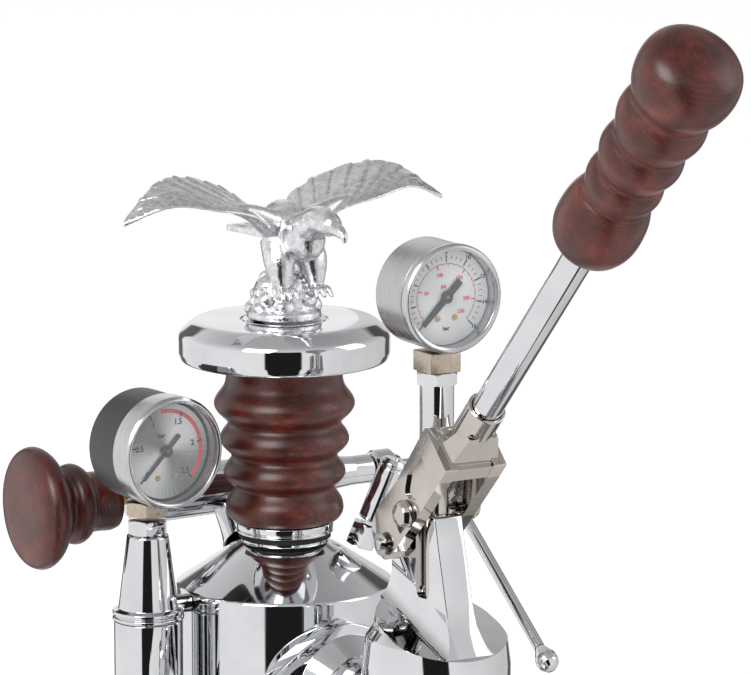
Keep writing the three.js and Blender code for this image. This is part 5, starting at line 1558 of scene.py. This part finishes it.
# %% [markdown]
# ## Lever
# The fork is a nickel plated casting: two arms straddle the horn, a bridge with a window joins them, and a
# socket takes the lever rod. The arms have a shallow pocket outside. The grip is turned beech with three
# rings, a barrel below and a pommel above.

# %% Fork and pins
LEVER_ANGLE = math.radians(46.5)
lever_at = side_on(fulcrum, LEVER_ANGLE)
ahead = Vector((0, -math.cos(LEVER_ANGLE), math.sin(LEVER_ANGLE)))
above = Vector((0, math.sin(LEVER_ANGLE), math.cos(LEVER_ANGLE)))
ARM_IN, ARM_OUT = 8.2, 14.0
arm = rounded([
    (61, 2), (61, 13.2, 0.6), (52, 13, 1), (26, 11.8, 20), (6, 13.4, 6), (-3.4, 10.6, 5), (-7.4, 2, 7),
    (-4.4, -5.6, 5),
    (4, -7.0, 6), (26, -8.0, 10), (53, -8.6, 2), (61, -8.6, 0.8), (61, 2),
])
arm = [tuple(p) for p in arm[:-1]]
near_arm = plate("fork_casting", arm, ARM_IN, ARM_OUT, lever_at)
far_arm = plate("far_arm", arm, -ARM_OUT, -ARM_IN, lever_at)
bridge = [(53, -8.2), (60.6, -8.2), (60.6, 12.6), (53, 12.6)]
bridge_piece = plate("bridge", bridge, -ARM_OUT + 0.4, ARM_OUT - 0.4, lever_at)
socket_axis = fulcrum + above * 3.3
socket = turned("socket", rounded([(0, 52), (7.8, 52), (7.8, 84, 0.8), (7.8, 85, 0.5), (0, 85)]),
    along(socket_axis, ahead), 72)
web = [(57, -6.8), (74, -4.0), (74, 2.5), (57, 5.0)]
web_vertices = [(u, v, w * (12.2 if u < 60 else 6.6)) for w in (-1, 1) for u, v in web]
web_faces = [[3, 2, 1, 0], [4, 5, 6, 7], [0, 1, 5, 4], [1, 2, 6, 5], [2, 3, 7, 6], [3, 0, 4, 7]]
web_piece = as_piece("web", web_vertices, web_faces, lever_at)
join(near_arm, far_arm, bridge_piece, socket, web_piece)
pocket = [tuple(p) for p in rounded([(50, 8), (50, 9.4, 2), (36, 8.6, 6), (27, 4, 3.4), (33, -2.6, 4),
    (49, -4.6, 2), (50, 8)])[:-1]]
for low, high in ((ARM_OUT - 1.2, 20), (-20, -ARM_OUT + 1.2)):
    cut(near_arm, plate("tool", pocket, low, high, lever_at))
seat = turned("tool", [(0, 66.7), (6.5, 66.7), (6.5, 90), (0, 90)], along(socket_axis, ahead), 64)
pin_angle = math.radians(-4.75)
slot_corners = [(20.7, 3.9), (13.8, 3.9, 1), (13.8, -3.9, 1), (27.6, -3.9, 1), (27.6, 3.9, 1), (20.7, 3.9)]
slot_points = [(u * math.cos(pin_angle) - v * math.sin(pin_angle),
    u * math.sin(pin_angle) + v * math.cos(pin_angle))
               for u, v in rounded(slot_corners)]
slot_tool = plate("tool", slot_points[:-1], -30, 30, lever_at)
axle_tool = turned("tool", [(0, -20), (2.8, -20), (2.8, 20), (0, 20)], along(fulcrum, RIGHT), 32)
cut(near_arm, seat, slot_tool, axle_tool)
soften(near_arm, 0.8, 3, 40)
fit(near_arm, "lever", "nickel", NICKEL, "fork")

axle = turned("fulcrum_axle", rounded([
    (0, -17.2), (3.6, -17.2, 0.6), (4.4, -16.4, 0.4), (4.4, -14.4, 0.3), (2.5, -14.4), (2.5, 14.4),
    (2.5, 15.2), (2.1, 15.2), (2.1, 16),
    (2.5, 16), (2.5, 17.2, 0.5), (0, 17.2),
]), along(fulcrum, -RIGHT), 48)
fit(axle, "lever", "nickel", NICKEL, "fulcrum_pin")
clip = turned("fulcrum_clip", rounded([(2.2, 15.25), (4.7, 15.25, 0.2), (4.7, 15.95, 0.2), (2.2, 15.95),
    (2.2, 15.25)]), along(fulcrum, -RIGHT), 40)
fit(cut(clip, plate("tool", [(-1.3, -9), (1.3, -9), (1.3, 0), (-1.3, 0)], 10, 20, along(fulcrum, -RIGHT))),
    "lever", "nickel", GAUGE_STEEL)

button = rounded([(0, 14.3), (5.6, 14.3, 0.2), (5.6, 15.6, 0.8), (4.4, 18, 2), (0, 19.4)])
pin_outline = [Vector((0, -19.4)), *[Vector((p.x, -p.y)) for p in reversed(button[1:])][1:],
    Vector((2.5, -14.3)), Vector((2.5, 14.3)), *button[1:]]
fit(turned("piston_pin_turned", pin_outline, along(piston_pin, RIGHT), 64), "piston", "nickel", NICKEL,
    "piston_pin")

# %% [markdown]
# The rod is a ground and polished bar with a thinner tang that the grip is pushed on to. The grip is turned
# from one piece of beech. A curve through a few marked diameters gives its rings without any facets.

# %% Lever rod and grip
ROD_R = 6.2
ROD_TOP = 185.7
rod_outline = rounded([(0, 67), (ROD_R, 67, 0.3), (ROD_R, ROD_TOP, 0.3), (4, ROD_TOP), (4, 260), (0, 260)])
fit(turned("lever_rod_polished", rod_outline, along(socket_axis, ahead), 96), "lever", "chrome", CHROME,
    "lever_rod")
grip_mid_point = spot("lever_grip")[0]
BEECH_LEVER = stained_beech("stained_beech_lever", (LEVER_ANGLE - math.radians(90), 0, 0), grip_mid_point)
lever_curve = flowing([
    (8.6, 0), (11.6, 1.0), (14.6, 4.4), (16.7, 10), (17.2, 16), (16.6, 23.5), (14.9, 29.5), (13.6, 32),
    (14.1, 34.6),
    (15.1, 39), (14.7, 43), (13.4, 46), (14.5, 49), (16.3, 55), (15.8, 60), (14.4, 63.6), (15.4, 67),
    (17.4, 74),
    (16.9, 79.6), (15.6, 83), (16.5, 86.4), (18.9, 91.4), (20.0, 97.4), (19.8, 103), (18.2, 107.4),
    (14.4, 110.8), (8, 113), (0, 113.9),
])
lever_outline = [Vector((0, 74.3)), Vector((4.3, 74.3)), Vector((4.3, 0)), *lever_curve]
lever_outline = [Vector((p.x, p.y + 186)) for p in lever_outline]
fit(turned("lever_grip_turned", lever_outline, along(socket_axis, ahead), 128), "lever", "wood",
    BEECH_LEVER, "lever_grip")

# %% [markdown]
# ## Portafilter
# A turned bowl hangs in the group's bayonet ring, with the steel basket inside, a double spout below and a
# turned beech handle to the front.

# %% Portafilter
holder_low, holder_high = spot("portafilter_body")[1:]
bowl_low, bowl_top = holder_low.z, holder_high.z
bowl_tall = bowl_top - bowl_low
holder_at = upright(0, group_y, bowl_low)
bowl_outline = rounded([
    (3, 0), (20, 0, 1.5), (24, 2, 3), (29.6, 8.6, 5), (30, bowl_tall - 2, 1), (30, bowl_tall, 0.4),
    (25.9, bowl_tall, 0.4),
    (25.9, 8.5, 3), (20, 3.2, 2), (3, 3), (3, 0),
])
bowl = turned("portafilter_bowl", bowl_outline, holder_at, 128)
stub = turned("stub", rounded([(3.3, 28.2), (8.4, 28.2), (7.2, 32, 2), (6, 36, 1.5), (6, 46, 0.6),
    (3.3, 46), (3.3, 28.2)]),
              along((0, group_y, bowl_low + 14), FRONT), 64)
cut(stub, turned("tool", [(0, -2), (29, -2), (29, 40), (0, 40)], holder_at, 96))
fit(soften(join(bowl, stub), 0.4, 2, 40), "portafilter", "chrome", CHROME, "portafilter_body")

basket_low, basket_high = spot("filter_basket")[1:]
basket_tall = basket_high.z - basket_low.z
basket_outline = rounded([
    (0, 0), (22.6, 0, 1.4), (25, basket_tall - 4.6, 2), (25, basket_tall - 0.5, 0.2),
    (28, basket_tall - 0.5, 0.1), (28, basket_tall - 0.12, 0.1),
    (24.5, basket_tall - 0.12, 0.3), (24.5, basket_tall - 4.6, 2), (22.2, 0.7, 1), (0, 0.7),
])
basket = turned("filter_basket_pressed", basket_outline, upright(0, group_y, basket_low.z), 96)
pierced = []
for ring_radius, hole_count in ((4, 6), (8, 12), (12, 18), (16, 24), (19.5, 30)):
    for i in range(hole_count):
        turn = 2 * math.pi * i / hole_count
        at = upright(ring_radius * math.cos(turn), group_y + ring_radius * math.sin(turn), basket_low.z - 1)
        pierced.append(turned("hole", [(0, 0), (0.6, 0), (0.6, 3), (0, 3)], at, 8))
cut(basket, one_piece("holes", pierced))
fit(basket, "portafilter", "brushed_steel", SHEET_STEEL, "filter_basket")

spout_low, spout_high = spot("spout")[1:]
spout_tall = spout_high.z - spout_low.z
hub = turned("spout_casting", rounded([(0, spout_tall - 8, 0), (5.6, spout_tall - 8, 2),
    (7, spout_tall - 5, 1), (7, spout_tall, 0.5), (0, spout_tall)]),
             upright(0, group_y, spout_low.z), 64)
legs = []
for side in (1, -1):
    path = flowing([(side * x, group_y, spout_low.z + z) for x,
        z in ((0, 13), (7, 12), (12, 7), (12, 0.2))], 6)
    legs.append(bent_bar("spout_leg", path, [4.0 - 0.5 * i / 18 for i in range(19)], None, 32))
join(hub, *legs)
for side in (1, -1):
    cut(hub, turned("tool", [(0, -2), (2.6, -2), (2.6, 6), (0, 8)],
        upright(side * 12, group_y, spout_low.z), 24))
fit(soften(hub, 0.5, 2, 40), "portafilter", "chrome", CHROME, "spout")

handle_mid, handle_low = spot("portafilter_handle")[:2]
HANDLE_LONG = 112
handle_at = along((0, handle_low.y + HANDLE_LONG, handle_mid.z), FRONT)
BEECH_HANDLE = stained_beech("stained_beech_handle", (math.radians(90), 0, math.radians(20)), handle_mid)
handle_curve = flowing([
    (6.6, 0), (7.8, 1.4), (9.9, 5), (11.1, 11), (11.0, 18), (9.9, 28), (9.7, 36), (11.2, 47), (13.1, 59),
    (14.6, 71),
    (15, 82), (14.4, 93), (12.4, 102), (8.6, 108.6), (4.4, 111.2), (0, 111.9),
])
fit(turned("portafilter_handle_turned", [Vector((0, 0)), *handle_curve], handle_at, 96), "portafilter",
    "wood", BEECH_HANDLE,
    "portafilter_handle")

# %% [markdown]
# ## Base
# The base is a deep-drawn steel box with round corners and a rolled upper edge, plated like the boiler. A
# flat plastic sheet closes it below, on four rubber feet. The tray drops into its top, the switch and the
# mains inlet sit in its walls.

# %% Base shell
def round_corners(width, length, corner, steps=10):
    """A rectangle with round corners, as (x, y) points."""
    outline = []
    for quarter, (sx, sy) in enumerate(((1, 1), (-1, 1), (-1, -1), (1, -1))):
        for step in range(steps + 1):
            turn = math.radians(90 * (quarter + step / steps))
            outline.append((sx * (width / 2 - corner) + corner * math.cos(turn),
                sy * (length / 2 - corner) + corner * math.sin(turn)))
    return outline


def pan(name, width, length, corner, layers, place):
    """A lofted box: each layer is (inset, height), and the first and last layers are closed."""
    vertices, faces = [], []
    for inset, height in layers:
        for x, y in round_corners(width - 2 * inset, length - 2 * inset, max(corner - inset, 0.8)):
            vertices.append((x, y, height))
    count = len(vertices) // len(layers)
    for i in range(len(layers) - 1):
        for k in range(count):
            j = (k + 1) % count
            faces.append([i * count + k, i * count + j, (i + 1) * count + j, (i + 1) * count + k])
    faces.append(list(range(count))[::-1])
    faces.append(list(range((len(layers) - 1) * count, len(layers) * count)))
    return as_piece(name, vertices, faces, place)


shell_mid, shell_low, shell_high = spot("base_shell")
shell_size = shell_high - shell_low
SHELL_EDGE = 8
edge_layers = [(SHELL_EDGE * (1 - math.cos(math.radians(a))),
    shell_size.z - SHELL_EDGE + SHELL_EDGE * math.sin(math.radians(a)))
               for a in range(0, 91, 10)]
inner_layers = [(1.6, -1), (1.6, shell_size.z - SHELL_EDGE)] + [(i + 1.6, min(z, shell_size.z) - 1.6) for i,
    z in edge_layers[2:]]
base_at = upright(shell_mid.x, shell_mid.y, shell_low.z)
shell = pan("base_shell_drawn", shell_size.x, shell_size.y, 42, [(0.4, 0), (0, 0.6), *edge_layers], base_at)
hollow = pan("tool", shell_size.x, shell_size.y, 42, inner_layers, base_at)
tray_mid, tray_low, tray_high = spot("drip_tray")
tray_size = tray_high - tray_low
TRAY_LIP = 4
tray_hole = plate("tool", round_corners(tray_size.x - 2 * TRAY_LIP + 1.6, tray_size.y - 2 * TRAY_LIP + 1.6,
    16.8), 40, 90,
                  upright(tray_mid.x, tray_mid.y, 0))
boiler_hole = turned("tool", [(0, 40), (BOILER_R + 0.3, 40), (BOILER_R + 0.3, 90), (0, 90)],
    upright(0, boiler_mid.y, 0), 160)
inlet_mid, inlet_low, inlet_high = spot("power_inlet")
switch_low, switch_high = spot("switch_bezel")[1:]


def box(name, low, high):
    """A plain block between two corners."""
    vertices = [(x, y, z) for x in (low[0], high[0]) for y in (low[1], high[1]) for z in (low[2], high[2])]
    faces = [[0, 1, 3, 2], [4, 6, 7, 5], [0, 4, 5, 1], [2, 3, 7, 6], [0, 2, 6, 4], [1, 5, 7, 3]]
    return as_piece(name, vertices, faces, None, False)


inlet_hole = box("tool", (inlet_low.x + 2.2, inlet_high.y - 12, inlet_low.z + 2.2),
    (inlet_high.x - 2.2, inlet_high.y + 5, inlet_high.z - 2.2))
switch_hole = box("tool", (switch_high.x - 12, switch_low.y + 2.2, switch_low.z + 2.2),
    (switch_high.x + 5, switch_high.y - 2.2, switch_high.z - 2.2))
cut(shell, hollow, tray_hole, boiler_hole, inlet_hole, switch_hole)
fit(shell, "machine", "chrome", CHROME, "base_shell")

cover_mid, cover_low, cover_high = spot("bottom_cover")
cover_size = cover_high - cover_low
cover = pan("bottom_cover_sheet", cover_size.x, cover_size.y, 42,
    [(0.4, 0), (0, 0.4), (0, cover_size.z - 0.3), (0.3, cover_size.z)],
            upright(cover_mid.x, cover_mid.y, cover_low.z))
vents = []
for row in range(-3, 4):
    vents.append(plate("vent", [(-24, -1.2), (24, -1.2), (24, 1.2), (-24, 1.2)], -1, 4,
        upright(0, 20 + row * 8, cover_low.z)))
cut(cover, *vents)
fit(cover, "machine", "black_plastic", BLACK_ABS, "bottom_cover")
for corner_name in ("front_left", "front_right", "rear_left", "rear_right"):
    foot_mid, foot_low, foot_high = spot(f"foot_{corner_name}")
    foot_tall = foot_high.z - foot_low.z
    foot = turned(f"foot_{corner_name}_moulded", rounded([
        (0, 0.8), (5, 0.8, 0.3), (5.6, 0, 0.3), (9.4, 0, 0.8), (11, 1.6, 0.6), (10.6, foot_tall, 0.4),
        (0, foot_tall),
    ]), upright(foot_mid.x, foot_mid.y, foot_low.z), 64)
    fit(foot, "machine", "rubber", EPDM, f"foot_{corner_name}")

# %% [markdown]
# ## Switch and inlet
# A moulded bezel snaps into the right wall and holds the rocker. The mains inlet in the rear wall is the
# usual three-pin socket with clipped lower corners. The cord is loose, so it isn't part of the machine.

# %% Switch and inlet
bezel = box("switch_bezel_moulded", (switch_high.x - 12, switch_low.y + 2.5, switch_low.z + 2.5),
    (switch_high.x - 0.2, switch_high.y - 2.5, switch_high.z - 2.5))
bezel_rim = box("rim", (switch_high.x - 1.6, switch_low.y + 0.1, switch_low.z + 0.1),
    (switch_high.x, switch_high.y - 0.1, switch_high.z - 0.1))
well = box("tool", (switch_high.x - 10.6, switch_low.y + 4, switch_low.z + 4),
    (switch_high.x + 3, switch_high.y - 4, switch_high.z - 4))
fit(soften(cut(join(bezel, bezel_rim), well), 0.5, 3), "machine", "black_plastic", BLACK_ABS,
    "switch_bezel")
rocker_low, rocker_high = spot("power_rocker")[1:]
rocker_wide = rocker_high.y - rocker_low.y
profile = [(rocker_low.x, 0), (rocker_low.x, rocker_wide)]
for i in range(13):
    share = 1 - i / 12
    bow = 4 * share * (1 - share) * 1.5
    profile.append((rocker_low.x + 3.2 + 2.1 * (1 - share) - bow + 0.02, rocker_wide * share))
rocker = plate("power_rocker_moulded", profile, rocker_low.z, rocker_high.z, upright(0, rocker_low.y, 0))
fit(soften(rocker, 0.35, 2, 50), "rocker", "black_plastic", BLACK_ABS, "power_rocker")

inlet_body = box("power_inlet_moulded", (inlet_low.x + 2.5, inlet_high.y - 24.5, inlet_low.z + 2.5),
    (inlet_high.x - 2.5, inlet_high.y - 0.2, inlet_high.z - 2.5))
inlet_rim = box("rim", (inlet_low.x + 0.1, inlet_high.y - 2.5, inlet_low.z + 0.1),
    (inlet_high.x - 0.1, inlet_high.y, inlet_high.z - 0.1))
join(inlet_body, inlet_rim)
inlet_hole_outline = [(-12, 8), (12, 8), (12, -4), (8, -8), (-8, -8), (-12, -4)]
inlet_at = facing((inlet_mid.x, inlet_high.y, inlet_mid.z), -FRONT)
cut(inlet_body, plate("tool", inlet_hole_outline, -20, 3, inlet_at))
for x, y in ((-7, -2), (0, 2), (7, -2)):
    blade = plate("blade", [(x - 1, y - 2.5), (x + 1, y - 2.5), (x + 1, y + 2.5), (x - 1, y + 2.5)], -21,
        -8, inlet_at)
    join(inlet_body, blade)
fit(soften(inlet_body, 0.35, 2), "machine", "black_plastic", BLACK_ABS, "power_inlet")

# %% [markdown]
# ## Drip tray
# The tray is a shallow pressing with a flat lip, and the grid is stamped sheet steel on two folded legs.

# %% Drip tray and grid
tray_at = upright(tray_mid.x, tray_mid.y, tray_low.z)
deep = tray_size.z
inside = TRAY_LIP + 1.2
tray = pan("drip_tray_pressed", tray_size.x, tray_size.y, 20, [
    (TRAY_LIP + 3, 0), (TRAY_LIP + 0.9, 0.9), (TRAY_LIP, 3), (TRAY_LIP, deep - 1.5), (0.4, deep - 1.4),
    (0, deep - 1), (0, deep - 0.5), (0.5, deep),
    (inside - 0.6, deep), (inside, deep - 0.5), (inside, 4), (inside + 1, 2.1), (inside + 3, 1.3),
], tray_at)
fit(tray, "tray", "chrome", CHROME, "drip_tray")
grid_mid, grid_low, grid_high = spot("drip_grid")
grid_size = grid_high - grid_low
grid_at = upright(grid_mid.x, grid_mid.y, grid_low.z)
grid = plate("drip_grid_stamped", round_corners(grid_size.x, grid_size.y, 14), grid_size.z - 2, grid_size.z,
    grid_at)
BARS = 11
pitch = 12.5
slots = []
for i in range(BARS):
    middle = (i - (BARS - 1) / 2) * pitch
    reach = 31 - 3.5
    end = [(3.5 * math.cos(math.radians(a)), 3.5 * math.sin(math.radians(a))) for a in range(0, 181, 20)]
    outline = [(middle + x, reach + y) for x, y in end] + [(middle - x, -reach - y) for x, y in end]
    slots.append(plate("slot", outline, grid_size.z - 5, grid_size.z + 3, grid_at))
cut(grid, one_piece("slots", slots))
soften(grid, 0.4, 2, 40)
fit(grid, "grid", "brushed_steel", SHEET_STEEL, "drip_grid")
for side, x in (("left", -1), ("right", 1)):
    x *= 4.5 * pitch
    leg = plate(f"drip_grid_leg_{side}", [(x - 0.6, -27), (x + 0.6, -27), (x + 0.6, 27), (x - 0.6, 27)],
        0.1, grid_size.z - 1.9, grid_at)
    fit(soften(leg, 0.2, 2), "grid", "brushed_steel", SHEET_STEEL)

# %% [markdown]
# ## Hidden parts
# The heating element, the cap's gasket and the safety valve's poppet sit inside the boiler and the valve.
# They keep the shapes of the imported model, with their own finishes.

# %% Hidden parts
for hidden, finish in (("heating_element", SHEET_STEEL), ("cap_gasket", EPDM), ("safety_poppet", BRASS)):
    shown = frame["nodes"][hidden]
    shown.data.materials.clear()
    shown.data.materials.append(finish)
    print(hidden, "keeps its packed shape, in", finish.name)
